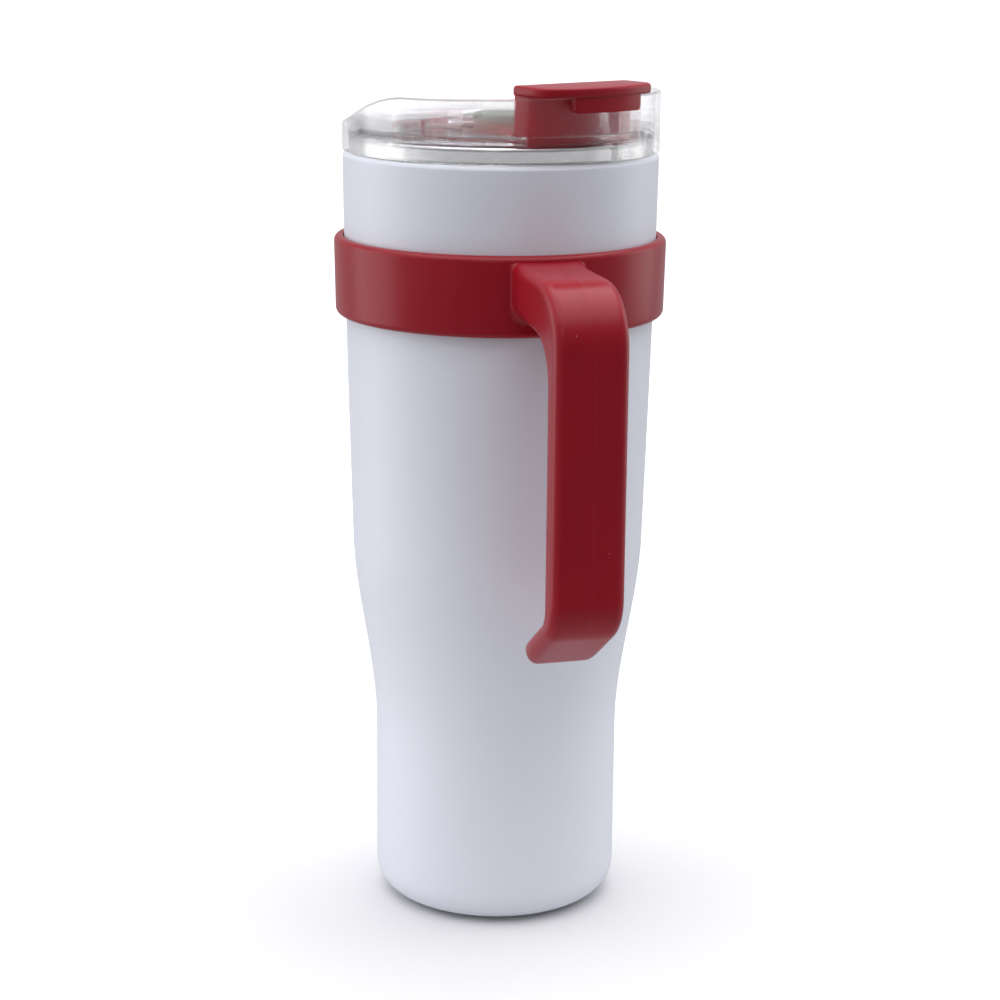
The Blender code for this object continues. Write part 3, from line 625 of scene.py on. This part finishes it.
def soften(bm, edges, offset, segments):
    bmesh.ops.bevel(bm, geom=edges, offset=offset, offset_type="OFFSET", segments=segments, profile=0.5,
                    affect="EDGES", clamp_overlap=True, material=-1)


def rim_edges(bm, height):
    """The edges of a prism's flat face at a height."""
    return [e for e in bm.edges if all(abs(v.co.z - height) < NEAR for v in e.verts)]


def cut_levels(bm, normal, distances):
    """Cut loops across a mesh where planes at these distances along a normal pass through it."""
    for distance in distances:
        geometry = list(bm.verts) + list(bm.edges) + list(bm.faces)
        bmesh.ops.bisect_plane(bm, geom=geometry, dist=MERGE / 2, plane_co=Vector(normal) * distance,
                               plane_no=normal)


def as_object(name, bm):
    mesh = bpy.data.meshes.new(name)
    bm.to_mesh(mesh)
    bm.free()
    thing = bpy.data.objects.new(name, mesh)
    bpy.context.scene.collection.objects.link(thing)
    return thing


def joined(name, first, steps):
    """Apply boolean steps of (operation, mesh) to a first mesh, and give the result back as a mesh."""
    thing = as_object(name + "_build", first)
    tools = []
    for operation, bm in steps:
        tool = as_object(name + "_tool", bm)
        boolean = thing.modifiers.new(operation, "BOOLEAN")
        boolean.operation = operation
        boolean.object = tool
        boolean.solver = "EXACT"
        tools.append(tool)
    depsgraph = bpy.context.evaluated_depsgraph_get()
    result = bmesh.new()
    result.from_mesh(thing.evaluated_get(depsgraph).to_mesh())
    for used in [thing] + tools:
        bpy.data.objects.remove(used)
    bmesh.ops.remove_doubles(result, verts=result.verts, dist=MERGE)
    bmesh.ops.dissolve_degenerate(result, edges=result.edges, dist=MERGE)
    return result


def piece(node, bm, body, materials, crease=32, turn=False):
    """Finish a mesh as a visible piece that stands for its CAD node and rides on a body."""
    if turn:
        rotate(bm, LID_TURN, "Z")
    thing = as_object(node + "_piece", bm)
    thing.data.shade_smooth()
    thing.data.set_sharp_from_angle(angle=radians(crease))
    for material in materials:
        thing.data.materials.append(material)
    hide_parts(node)
    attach(thing, body)
    return thing


def refinish(node, material):
    """Give a CAD node that stays as it is a better material."""
    mesh = frame["nodes"][node].data
    mesh.materials.clear()
    mesh.materials.append(material)


# ---- steel body
class MUG_OT_outer_shell(Operator):
    """Make the painted outer wall with its bare neck and foot ring"""
    bl_idname = "mug.outer_shell"
    bl_label = "Outer shell"

    def execute(self, context):
        corner = (BASE_R - CORNER_R, CORNER_R + FOOT_Z)
        neck_foot = SHOULDER_Z + 1.9 * MM
        outer = [(NECK_R, NECK_TOP), (NECK_R, neck_foot)]
        outer += arc((TAPER_TOP_R - SHOULDER_R, SHOULDER_Z), SHOULDER_R, 84, 8, 7)
        outer += wall(0.0, corner[1], SHOULDER_Z)
        outer += arc(corner, CORNER_R, -8, -90, 14)
        outer += arc((FOOT_R + STEEL, FOOT_Z + STEEL), STEEL, -90, -180, 4) + [(FOOT_R, FOOT_LIP_Z)]
        inner = [(FOOT_R + STEEL, FOOT_LIP_Z), (FOOT_R + STEEL, FOOT_Z + 1.4 * MM)]
        inner += arc(corner, CORNER_R - STEEL, -90, -8, 8)
        inner += list(reversed(wall(STEEL, corner[1], SHOULDER_Z)))
        inner += [(NECK_R - STEEL, SHOULDER_Z + 1.2 * MM), (NECK_R - STEEL, NECK_TOP)]
        bm = turned(outer + inner, closed=True)
        bare_foot = FOOT_R + 1.5 * MM
        for face in bm.faces:
            spot = face.calc_center_median()
            radius = hypot(spot.x, spot.y)
            inward = face.normal.x * spot.x + face.normal.y * spot.y < -0.2 * radius
            if spot.z > neck_foot - 0.4 * MM or radius < bare_foot or (inward and spot.z > FOOT_LIP_Z):
                face.material_index = 1
        finishes = [powder_coat(colours().coat, context.scene.mug_sizes.coat_grain),
                    brushed_steel("neck_steel", 0.16, 0.25 * MM)]
        piece("outer_shell", bm, "mug", finishes)
        return {"FINISHED"}


class MUG_OT_inner_liner(Operator):
    """Make the steel liner with its rolled drinking lip, and the disc that closes its floor"""
    bl_idname = "mug.inner_liner"
    bl_label = "Inner liner"

    def execute(self, context):
        low = LINER_FLOOR + LINER_CORNER_R
        inset = STEEL + WALL_GAP
        corner = (BASE_R - inset - LINER_CORNER_R, low)

        def side(extra):
            return [(min(r, LINER_NECK_R - extra), z) for r, z in wall(inset + extra, low, SHOULDER_Z)]

        lip = (NECK_R + LINER_NECK_R - STEEL) / 2
        half = (NECK_R - LINER_NECK_R + STEEL) / 2
        outer = arc((lip, LIP_TOP - half), half, 90, 0, 6) + [(NECK_R, NECK_TOP + GAP)]
        outer += [(LINER_NECK_R, NECK_TOP + GAP)] + side(0.0)
        outer += arc(corner, LINER_CORNER_R, -8, -90, 8) + [(LINER_FLOOR_R, LINER_FLOOR)]
        inner = [(LINER_FLOOR_R, LINER_FLOOR + STEEL)] + arc(corner, LINER_CORNER_R - STEEL, -90, -8, 8)
        inner += list(reversed(side(STEEL))) + arc((lip, LIP_TOP - half), half, 180, 108, 5)
        steel = brushed_steel("liner_steel", 0.20, 0.4 * MM)
        piece("inner_liner", turned(outer + inner, closed=True), "mug", [steel])

        edge, top = LINER_FLOOR_R - GAP, LINER_FLOOR + STEEL
        disc = [(0, top), (edge, top, STEEL / 4), (edge, LINER_FLOOR, STEEL / 4), (0, LINER_FLOOR)]
        floor = ringed_steel("liner_floor_steel", 0.24, 0.5 * MM)
        piece("liner_floor", spun(disc, 3), "mug", [floor])
        return {"FINISHED"}


class MUG_OT_base(Operator):
    """Make the dished base disc and the silicone foot pad"""
    bl_idname = "mug.base"
    bl_label = "Base and foot pad"

    def execute(self, context):
        low, steel, dish, dish_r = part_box("outer_base")[0].z, 0.8 * MM, 1.4 * MM, 4.0 * MM
        edge, slope = FOOT_R - GAP, 2.0 * MM
        high = low + steel
        corners = [(0, high + dish), (dish_r, high + dish, 0.8 * MM), (dish_r + slope, high, 0.8 * MM),
                   (edge, high), (edge, low), (dish_r + slope + steel / 2, low, 0.8 * MM),
                   (dish_r + steel / 2, low + dish, 0.8 * MM), (0, low + dish)]
        base = ringed_steel("base_steel", 0.32, 0.6 * MM)
        piece("outer_base", spun(corners, 4), "mug", [base])

        pad_r, pad_top, soft = 26.8 * MM, 1.25 * MM, 0.3 * MM
        width, groove, fine = 0.8 * MM, 0.35 * MM, 0.1 * MM
        corners = [(0, pad_top), (pad_r, pad_top, soft), (pad_r, 0, soft)]
        for r in (22.5 * MM, 16.5 * MM, 10.5 * MM):  # shallow rings that grip the table
            corners += [(r + width, 0, fine), (r + width / 2, groove, fine),
                        (r - width / 2, groove, fine), (r - width, 0, fine)]
        corners.append((0, 0))
        pad = matt_rubber("foot_silicone", (0.50, 0.51, 0.53))
        piece("foot_pad", spun(corners, 3), "mug", [pad])
        return {"FINISHED"}


class MUG_OT_vacuum_parts(Operator):
    """Finish the pieces that are sealed between the walls: foil, getter and solder bead"""
    bl_idname = "mug.vacuum_parts"
    bl_label = "Vacuum parts"

    def execute(self, context):
        refinish("radiation_foil", crinkled_copper())
        refinish("getter_cup", ringed_steel("getter_cup_steel", 0.30, 0.3 * MM))
        refinish("getter_pellet", pressed_powder())
        refinish("vacuum_seal_bead", dull_solder())
        return {"FINISHED"}


# ---- handle
def band_mesh(edge):
    """The ring round the body, with its bore and the groove for the grip ring."""
    fit = BAND_FIT
    corners = [(BAND_HIGH_R, BAND_HIGH, edge), (BAND_LOW_R, BAND_LOW, edge),
               (body_radius(BAND_LOW) + fit, BAND_LOW, 0.5 * MM), (body_radius(GROOVE_LOW) + fit, GROOVE_LOW),
               (GROOVE_R, GROOVE_LOW), (GROOVE_R, GROOVE_HIGH), (body_radius(GROOVE_HIGH) + fit, GROOVE_HIGH),
               (body_radius(BAND_HIGH) + fit, BAND_HIGH, 0.5 * MM)]
    return turned(rounded(corners, 6), closed=True)


def hook_end():
    """The hook's direction in x and z, and the lower corner of its blunt end."""
    along = Vector((-cos(HOOK_SLOPE), -sin(HOOK_SLOPE)))
    return along, Vector((REACH, HOOK_CORNER_Z)) + along * HOOK_LENGTH


def grip_outline():
    """Side outline of the grip in x and z: top arm, upright, and a free end hooked towards the body."""
    along, under_tip = hook_end()
    across = Vector((-sin(HOOK_SLOPE), cos(HOOK_SLOPE)))
    over_tip = under_tip + across * HOOK_THICK
    elbow = over_tip - along * (REACH_IN - over_tip.x) / cos(HOOK_SLOPE)
    root, tip_r = ARM_ROOT, HOOK_THICK / 2
    corners = [(root, ARM_TOP + 1.9 * MM), (root + 12 * MM, ARM_TOP + 0.8 * MM, 30 * MM),
               (REACH, ARM_TOP, 19 * MM), (REACH, HOOK_CORNER_Z, 16 * MM), (*under_tip, tip_r),
               (*over_tip, tip_r), (*elbow, 7 * MM), (REACH_IN, ARM_UNDER, 13 * MM),
               (root, ARM_UNDER + 0.6 * MM)]
    return rounded(corners, 14)


def arm_mesh(edge, fillet):
    """The grip: its outline across its width, with rounded edges, a soft root and a parting line."""
    bm = extruded(grip_outline(), -GRIP_HALF, GRIP_HALF)
    soften(bm, rim_edges(bm, GRIP_HALF) + rim_edges(bm, -GRIP_HALF), edge, 7)
    rotate(bm, pi / 2, "X")
    band_r = (BAND_LOW_R + BAND_HIGH_R) / 2
    levels = spread(ARM_ROOT + 0.2 * MM, band_r + 2.2 * fillet, 20) + spread(57 * MM, ARM_LAND, 8)
    cut_levels(bm, (1, 0, 0), levels)
    cut_levels(bm, (0, 1, 0), spread(-GRIP_HALF + edge, GRIP_HALF - edge, 9))
    cut_levels(bm, (0, 1, 0), (-PARTING_HALF, PARTING_HALF))
    middle = (ARM_TOP + ARM_UNDER) / 2
    belly = 8 * MM
    for v in bm.verts:
        near_root = 1 - smoothstep((v.co.x - band_r) / (ARM_LAND - band_r))
        low_side = 1 - smoothstep((v.co.z - ARM_UNDER) / (ARM_TOP - ARM_UNDER))
        if v.co.z > ARM_UNDER - 2 * MM:
            over = min(max(abs(v.co.y) - (GRIP_HALF - belly), 0.0) / belly, 1.0)
            v.co.z += ARM_BELLY * (1 - sqrt(1 - over * over)) * near_root * low_side
    for v in bm.verts:
        out = hypot(v.co.x, v.co.y)
        t = min(max((band_r + fillet - out) / fillet, 0.0), 1.0)
        swell = fillet * (1 - sqrt(1 - t * t))
        v.co.y += swell * v.co.y / GRIP_HALF
        if v.co.z < middle:
            v.co.z -= swell * (middle - v.co.z) / (middle - ARM_UNDER)
    along, tip = hook_end()
    for v in bm.verts:
        short = max(HOOK_END_R - (tip - Vector((v.co.x, v.co.z))).dot(along), 0.0)
        v.co.y *= 1 - (HOOK_END_R - sqrt(max(HOOK_END_R ** 2 - short ** 2, 0.0))) / GRIP_HALF
    bm.normal_update()
    for v in bm.verts:
        if abs(v.co.y) < NEAR and v.co.x > band_r + 2 * MM and v.co.z > HOOK_CORNER_Z:
            v.co += v.normal * PARTING_HIGH
    return bm


class MUG_OT_handle(Operator):
    """Make the push-on handle ring with its hooked grip, and the soft ring inside it"""
    bl_idname = "mug.handle"
    bl_label = "Handle"

    def execute(self, context):
        sizes = context.scene.mug_sizes
        arm = arm_mesh(sizes.grip_edge, sizes.root_fillet)
        bm = joined("handle", band_mesh(sizes.band_edge), [("UNION", arm)])
        red = satin_red("handle_red", colours().red)
        piece("handle", bm, "handle", [red], crease=38)

        low, high, rib, rib_points = RING_LOW.z, RING_HIGH.z, 0.12 * MM, 33
        outer = [(RING_HIGH.x, high), (RING_HIGH.x, low)]
        inner = [(body_radius(z) + BAND_FIT + (rib if i % 2 else 0.0), z)
                 for i, z in enumerate(spread(low, high, rib_points))]
        ring = matt_rubber("grip_ring_silicone", (0.30, 0.02, 0.03))
        piece("handle_grip_ring", turned(outer + inner, True), "handle", [ring])
        return {"FINISHED"}


# ---- lid
def guard_height(angle):
    """Height of the splash guard at an angle from the thumb tab: high in front, low behind."""
    fall = smoothstep((abs(angle) - GUARD_HIGH_ANGLE) / GUARD_FALL_ANGLE)
    crown = smoothstep((GUARD_HIGH_ANGLE - abs(angle)) / GUARD_FALL_ANGLE)
    return GUARD_HIGH + GUARD_CROWN * crown + (GUARD_LOW - GUARD_HIGH) * fall


def lid_shell():
    """The turned part of the lid: deck, skirt, splash guard and plug."""
    under, guard_in, soft = DECK_TOP - DECK, SKIRT_R - GUARD_WALL, 0.35 * MM
    guard_round = 0.499 * GUARD_WALL
    corners = [(0, DECK_TOP), (guard_in, DECK_TOP, 0.6 * MM), (guard_in, GUARD_HIGH, guard_round),
               (SKIRT_R, GUARD_HIGH, guard_round), (SKIRT_R, SKIRT_LOW, soft), (SKIRT_IN_R, SKIRT_LOW, soft),
               (SKIRT_IN_R, under, 0.5 * MM), (PLUG_R, under, 0.5 * MM), (PLUG_R, COLLAR_LOW, 0.3 * MM),
               (PLUG_WALL_R, COLLAR_LOW - 0.8 * MM, 0.4 * MM)]
    for top in (SEAL_HIGH + FLANGE, SEAL_LOW):
        corners += [(PLUG_WALL_R, top, 0.2 * MM), (PLUG_R, top, soft), (PLUG_R, top - FLANGE, soft)]
        if top > SEAL_HIGH:
            corners.append((PLUG_WALL_R, SEAL_HIGH, 0.2 * MM))
    corners += [(PLUG_WALL_R + FLANGE / 2, PLUG_LOW, 0.3 * MM), (PLUG_IN_R, PLUG_LOW, 0.3 * MM),
                (PLUG_IN_R, under, 0.8 * MM), (0, under)]
    bm = spun(corners, 5)
    shift_from = (DECK_TOP + GUARD_HIGH) / 2
    for v in bm.verts:
        if v.co.z > shift_from:
            v.co.z += guard_height(atan2(v.co.y, v.co.x)) - GUARD_HIGH
    return bm


class MUG_OT_lid(Operator):
    """Make the clear lid with its recess, hinge knuckles, drinking slot and splash guard"""
    bl_idname = "mug.lid"
    bl_label = "Clear lid"

    def execute(self, context):
        tray_low, margin = RECESS_FLOOR - DECK, 2 * MM
        outline = tongue(RECESS_HALF + DECK, RECESS_BACK - DECK, PLUG_R - GAP, RECESS_CORNER + DECK, 3 * MM)
        tray = extruded(outline, tray_low, DECK_TOP - GAP)
        soften(tray, rim_edges(tray, tray_low), 0.8 * MM, 4)
        recess = extruded(tongue(RECESS_HALF, RECESS_BACK, RECESS_R, RECESS_CORNER, 1.5 * MM), RECESS_FLOOR,
                          DECK_TOP + margin)
        soften(recess, rim_edges(recess, RECESS_FLOOR), 0.5 * MM, 4)
        web, half = KNUCKLE_R - GAP / 10, (KNUCKLE_OUT - KNUCKLE_IN) / 2
        middle = (KNUCKLE_OUT + KNUCKLE_IN) / 2
        knuckles = []
        for side in (middle, -middle):
            foot = [(HINGE_X - web, side - half), (HINGE_X + web, side - half),
                    (HINGE_X + web, side + half), (HINGE_X - web, side + half)]
            knuckles += [("UNION", extruded(foot, RECESS_FLOOR - DECK / 2, HINGE_Z)),
                         ("UNION", cross_bar(KNUCKLE_R, half - 0.1 * MM, side))]
        low, high = tray_low - margin, RECESS_FLOOR + margin
        straw = cylinder(STRAW_HOLE_R, low, high, 96)
        vent = cylinder(VENT_R, low, high, 32, VENT_X)
        sip = extruded(slot(SIP_BACK, SIP_FRONT, SIP_HALF, SIP_CORNER), low, high)
        holes = (cross_bar(PIN_HOLE_R, PIN_HALF), straw, vent, sip)
        steps = [("UNION", tray), ("DIFFERENCE", recess)] + knuckles + [("DIFFERENCE", h) for h in holes]
        bm = joined("lid", lid_shell(), steps)
        clear = clear_plastic(colours().clear)
        piece("lid_body", bm, "lid", [clear], crease=30, turn=True)
        return {"FINISHED"}


class MUG_OT_lid_fittings(Operator):
    """Make the lid's gasket, the straw grommet and the hinge pin"""
    bl_idname = "mug.lid_fittings"
    bl_label = "Lid fittings"

    def execute(self, context):
        low, high, root, fin = SEAL_LOW + GAP, SEAL_HIGH - GAP, PLUG_WALL_R + GAP, 0.5 * MM
        corners = [(root, low), (root, high), (SEAL_R, high, 0.2 * MM)]
        for z in (high - (high - low) / 3, low + (high - low) / 3):
            corners += [(SEAL_R, z + fin, 0.1 * MM), (FIN_R, z + fin / 2, 0.15 * MM),
                        (FIN_R, z - fin / 2, 0.15 * MM), (SEAL_R, z - fin, 0.1 * MM)]
        corners.append((SEAL_R, low, 0.2 * MM))
        gasket = silicone("gasket_silicone", colours().silicone, 0.3)
        piece("lid_gasket", turned(rounded(corners, 3), True), "gasket", [gasket])

        neck, soft = STRAW_HOLE_R - GAP, 0.3 * MM
        above, below = RECESS_FLOOR + GAP, RECESS_FLOOR - DECK - GAP
        top, low = above + GROMMET_FLANGE, below - GROMMET_FLANGE
        corners = [(GROMMET_R, top, soft), (GROMMET_R, above, soft), (neck, above), (neck, below),
                   (GROMMET_R - 0.5 * MM, below, soft / 2), (GROMMET_R - 1.0 * MM, low, soft),
                   (GROMMET_BORE, low, soft), (GROMMET_BORE, top, soft)]
        grommet = silicone("grommet_silicone", colours().silicone, 0.3)
        bm = turned(rounded(corners, 4), True, 96)
        piece("straw_grommet", bm, "lid", [grommet], turn=True)

        pin = brushed_steel("pin_steel", 0.20, 0.3 * MM)
        bm = cross_bar(PIN_R, PIN_HALF, chamfer=0.25 * MM)
        piece("hinge_pin", bm, "lid", [pin], turn=True)
        return {"FINISHED"}


class MUG_OT_straw_stopper(Operator):
    """Make the flat-topped silicone stopper of the straw hole"""
    bl_idname = "mug.straw_stopper"
    bl_label = "Straw stopper"

    def execute(self, context):
        soft, grip_r = 0.5 * MM, 8.6 * MM
        under = RECESS_FLOOR + GROMMET_FLANGE + 2 * GAP
        corners = [(0, STOPPER_TOP - 2 * GAP), (grip_r * 0.6, STOPPER_TOP - GAP, 4 * soft),
                   (grip_r, STOPPER_TOP - soft, 3 * soft), (grip_r, STOPPER_RIM + soft, 1.2 * soft),
                   (STOPPER_R, STOPPER_RIM, soft), (STOPPER_R, under, soft),
                   (STOPPER_PLUG_R, under, 0.2 * MM), (STOPPER_PLUG_R, STOPPER_PLUG_LOW, 2 * soft),
                   (0, STOPPER_PLUG_LOW)]
        rubber = silicone("stopper_silicone", [c * 0.86 for c in colours().silicone], 0.55)
        piece("straw_stopper", spun(corners, 5, 96), "straw_stopper", [rubber], turn=True)
        return {"FINISHED"}


# ---- flip cover
def thumb_tab(edge):
    """The lip that hangs from the slab in front of the guard, with round lower corners."""
    far, near = degrees(asin(TAB_HALF / TAB_OUT_R)), degrees(asin(TAB_HALF / TAB_IN_R))
    outline = arc((0, 0), TAB_OUT_R, -far, far, 20) + arc((0, 0), TAB_IN_R, near, -near, 20)
    bm = extruded(outline, TAB_LOW, SLAB_TOP - edge)
    ends = [e for e in rim_edges(bm, TAB_LOW) if all(abs(v.co.y) > TAB_HALF - NEAR for v in e.verts)]
    soften(bm, ends, 2.6 * MM, 6)
    sharp = [e for e in bm.edges if e.calc_face_angle(0.0) > radians(50)]
    soften(bm, sharp, 0.6 * edge, 4)
    return bm


def cover_block():
    """The hollow block under the slab: slightly narrower at the top, with soft upright corners."""
    low, high = PLATE_LOW + GAP, SLAB_LOW + GAP
    bm = extruded(tongue(PLATE_HALF, BLOCK_BACK, PLATE_FRONT_R, RECESS_CORNER, 1.2 * MM), low, high)
    cut_levels(bm, (0, 0, 1), spread(PLATE_TOP, PLATE_TOP + 2.0 * MM, 6))
    for v in bm.verts:
        climb = max(v.co.z - PLATE_TOP, 0.0) / (high - PLATE_TOP)
        foot = 1.2 * MM * max(1 - (v.co.z - PLATE_TOP) / (2.0 * MM), 0.0) ** 2
        v.co.y *= 1 - 0.02 * climb
        if v.co.x < BLOCK_BACK + 3 * MM:
            v.co.x -= min(foot, 1.2 * MM)
    return bm


class MUG_OT_flip_cover(Operator):
    """Make the red flip cover: hinged plate, raised block, slab and thumb tab"""
    bl_idname = "mug.flip_cover"
    bl_label = "Flip cover"

    def execute(self, context):
        edge, margin = context.scene.mug_sizes.edge, 2 * MM
        plate = extruded(tongue(PLATE_HALF, HINGE_X, PLATE_FRONT_R, RECESS_CORNER), PLATE_LOW, PLATE_TOP)
        soften(plate, rim_edges(plate, PLATE_TOP), 0.5 * MM, 4)
        slab = extruded(tongue(SLAB_HALF, SLAB_BACK, SLAB_FRONT_R, SLAB_CORNER, 1.2 * MM), SLAB_LOW, SLAB_TOP)
        bmesh.ops.translate(slab, verts=slab.verts, vec=(0, SLAB_SIDE, 0))
        soften(slab, rim_edges(slab, SLAB_TOP), edge, 6)
        soften(slab, rim_edges(slab, SLAB_LOW), 0.6 * edge, 4)
        low, high = PLATE_LOW - margin, PLATE_TOP + margin
        window = cylinder(WINDOW_R, low, high, 128)
        back, front, half = HINGE_X - BARREL_R - margin, HINGE_X + KNUCKLE_R + 3 * GAP, KNUCKLE_OUT + GAP
        notch = extruded([(back, -half), (front, -half), (front, half), (back, half)], low, high + margin)
        pocket = extruded(tongue(POCKET_HALF, POCKET_BACK, POCKET_FRONT_R, POCKET_CORNER, POCKET_CORNER), low,
                          POCKET_TOP)
        seat = cylinder(VENT_SEAL_R + GAP, low, VENT_SEAT_TOP, 48, VENT_X)
        barrel_half = (PLATE_HALF - KNUCKLE_OUT - 2 * GAP) / 2
        reach = PLATE_HALF - barrel_half - 0.05 * MM
        solids = (cover_block(), slab, thumb_tab(edge), cross_bar(BARREL_R, barrel_half, reach),
                  cross_bar(BARREL_R, barrel_half, -reach))
        hollows = (window, notch, pocket, seat, cross_bar(PIN_HOLE_R, PIN_HALF + margin))
        steps = [("UNION", solid) for solid in solids] + [("DIFFERENCE", hollow) for hollow in hollows]
        bm = joined("flip_cover", plate, steps)
        red = satin_red("cover_red", colours().red)
        piece("flip_cover", bm, "flip_cover", [red], crease=35, turn=True)
        return {"FINISHED"}


class MUG_OT_cover_seals(Operator):
    """Make the silicone plug of the drinking slot and the little vent seal"""
    bl_idname = "mug.cover_seals"
    bl_label = "Cover seals"

    def execute(self, context):
        low = PLATE_LOW + 0.2 * MM
        high = low + 2.5 * MM
        flange = extruded(tongue(POCKET_HALF - GAP, POCKET_BACK + GAP, POCKET_FRONT_R - GAP, POCKET_CORNER,
                                 POCKET_CORNER), low, high)
        soften(flange, rim_edges(flange, high), 0.4 * MM, 3)
        foot = RECESS_FLOOR - DECK - 0.8 * MM
        plug = extruded(slot(SIP_BACK + SIP_PLAY, SIP_FRONT - SIP_PLAY, SIP_HALF - SIP_PLAY,
                             SIP_CORNER - SIP_PLAY), foot, low + 0.8 * MM)
        soften(plug, rim_edges(plug, foot), 0.5 * MM, 4)
        bm = joined("sip_stopper", flange, [("UNION", plug)])
        rubber = silicone("sip_silicone", colours().silicone, 0.2)
        piece("sip_stopper", bm, "flip_cover", [rubber], turn=True)

        top, low, soft = VENT_SEAT_TOP - GAP, RECESS_FLOOR + GAP, 0.4 * MM
        corners = [(0, top), (VENT_SEAL_R, top, soft), (VENT_SEAL_R, low, soft), (0, low)]
        seal = silicone("vent_silicone", colours().silicone, 0.2)
        piece("vent_seal", spun(corners, 4, 64, VENT_X), "flip_cover", [seal], turn=True)
        return {"FINISHED"}


# ---- studio
def lamp(name, azimuth, elevation, away, size, power):
    """A rectangular light at angles from the camera's direction and the floor, aimed at the mug."""
    a, climb = CAMERA_AZIMUTH + radians(azimuth), radians(elevation)
    spot = Vector((cos(a) * cos(climb), sin(a) * cos(climb), sin(climb))) * away
    spot.z += LAMP_AIM
    light = bpy.data.lights.new(name, "AREA")
    light.shape = "RECTANGLE"
    light.size, light.size_y = size
    light.energy = power
    thing = bpy.data.objects.new(name, light)
    thing.location = spot
    thing.rotation_euler = (Vector((0, 0, LAMP_AIM)) - spot).to_track_quat("-Z", "Y").to_euler()
    bpy.context.scene.collection.objects.link(thing)


class MUG_OT_stage(Operator):
    """Set up the pale floor, the soft studio light and the camera"""
    bl_idname = "mug.stage"
    bl_label = "Studio"

    def execute(self, context):
        near, far = bmesh.new(), bmesh.new()
        bmesh.ops.create_circle(near, cap_ends=True, segments=96, radius=NEAR_FLOOR_R)
        rims = [bmesh.ops.create_circle(far, segments=96, radius=r)["verts"]
                for r in (NEAR_FLOOR_R, FAR_FLOOR_R)]
        bmesh.ops.bridge_loops(far, edges=list({e for rim in rims for v in rim for e in v.link_edges}))
        finish = studio_floor(colours().floor)
        for name, bm in (("studio_floor", near), ("studio_floor_far", far)):
            floor = as_object(name, bm)
            floor.data.materials.append(finish)
            floor.visible_diffuse = name == "studio_floor"
            floor.visible_glossy = False

        world = bpy.data.worlds.new("studio_world")
        world.use_nodes = True
        sky = Shading(world.node_tree)
        way = sky.add("ShaderNodeTexCoord", out="Generated")
        a = CAMERA_AZIMUTH + DARK_SIDE
        facing = sky.vector("DOT_PRODUCT", way, (cos(a), sin(a), 0.0))
        height = sky.vector("DOT_PRODUCT", way, (0.0, 0.0, 1.0))
        background = world.node_tree.nodes["Background"]
        around = sky.ramp(facing, 0.25, 0.95, SKY_SIDES, SKY_FRONT)
        sky.put(background.inputs["Strength"], around + sky.ramp(height, 0.62, 0.85, 0.0, SKY_TOP))
        background.inputs["Color"].default_value = SKY_TINT
        context.scene.world = world
        context.scene.view_settings.view_transform = "Standard"

        for values in LAMPS:
            lamp(*values)

        camera = bpy.data.cameras.new("camera")
        camera.lens = CAMERA_LENS
        camera.shift_x = CAMERA_SHIFT
        thing = bpy.data.objects.new("camera", camera)
        spot = Vector((cos(CAMERA_AZIMUTH), sin(CAMERA_AZIMUTH), 0)) * CAMERA_AWAY
        spot.z = CAMERA_HEIGHT
        facing = Matrix.Rotation(CAMERA_AZIMUTH + pi / 2, 4, "Z")
        tilt = Matrix.Rotation(pi / 2 - CAMERA_PITCH, 4, "X")
        thing.matrix_world = Matrix.Translation(spot) @ facing @ tilt @ Matrix.Rotation(CAMERA_ROLL, 4, "Z")
        context.scene.collection.objects.link(thing)
        context.scene.camera = thing
        return {"FINISHED"}


OPERATORS = (MUG_OT_outer_shell, MUG_OT_inner_liner, MUG_OT_base, MUG_OT_vacuum_parts, MUG_OT_handle,
             MUG_OT_lid, MUG_OT_lid_fittings, MUG_OT_straw_stopper, MUG_OT_flip_cover, MUG_OT_cover_seals,
             MUG_OT_stage)


class MUG_PT_panel(Panel):
    bl_idname = "MUG_PT_panel"
    bl_label = "Travel mug"
    bl_space_type = "VIEW_3D"
    bl_region_type = "UI"
    bl_category = "Mug"

    def draw(self, context):
        layout = self.layout
        for group in (context.scene.mug_sizes, context.scene.mug_colours):
            box = layout.box()
            for name in group.__annotations__:
                box.prop(group, name)
        for operator in OPERATORS:
            layout.operator(operator.bl_idname)


CLASSES = (MugSizes, MugColours) + OPERATORS + (MUG_PT_panel,)


def register():
    for item in CLASSES:
        bpy.utils.register_class(item)
    bpy.types.Scene.mug_sizes = PointerProperty(type=MugSizes)
    bpy.types.Scene.mug_colours = PointerProperty(type=MugColours)


def unregister():
    del bpy.types.Scene.mug_colours
    del bpy.types.Scene.mug_sizes
    for item in reversed(CLASSES):
        bpy.utils.unregister_class(item)


def main():
    register()
    bpy.ops.mug.stage()
    bpy.ops.mug.outer_shell()
    bpy.ops.mug.inner_liner()
    bpy.ops.mug.base()
    bpy.ops.mug.vacuum_parts()
    bpy.ops.mug.handle()
    bpy.ops.mug.lid()
    bpy.ops.mug.lid_fittings()
    bpy.ops.mug.straw_stopper()
    bpy.ops.mug.flip_cover()
    bpy.ops.mug.cover_seals()


if __name__ == "__main__":
    main()
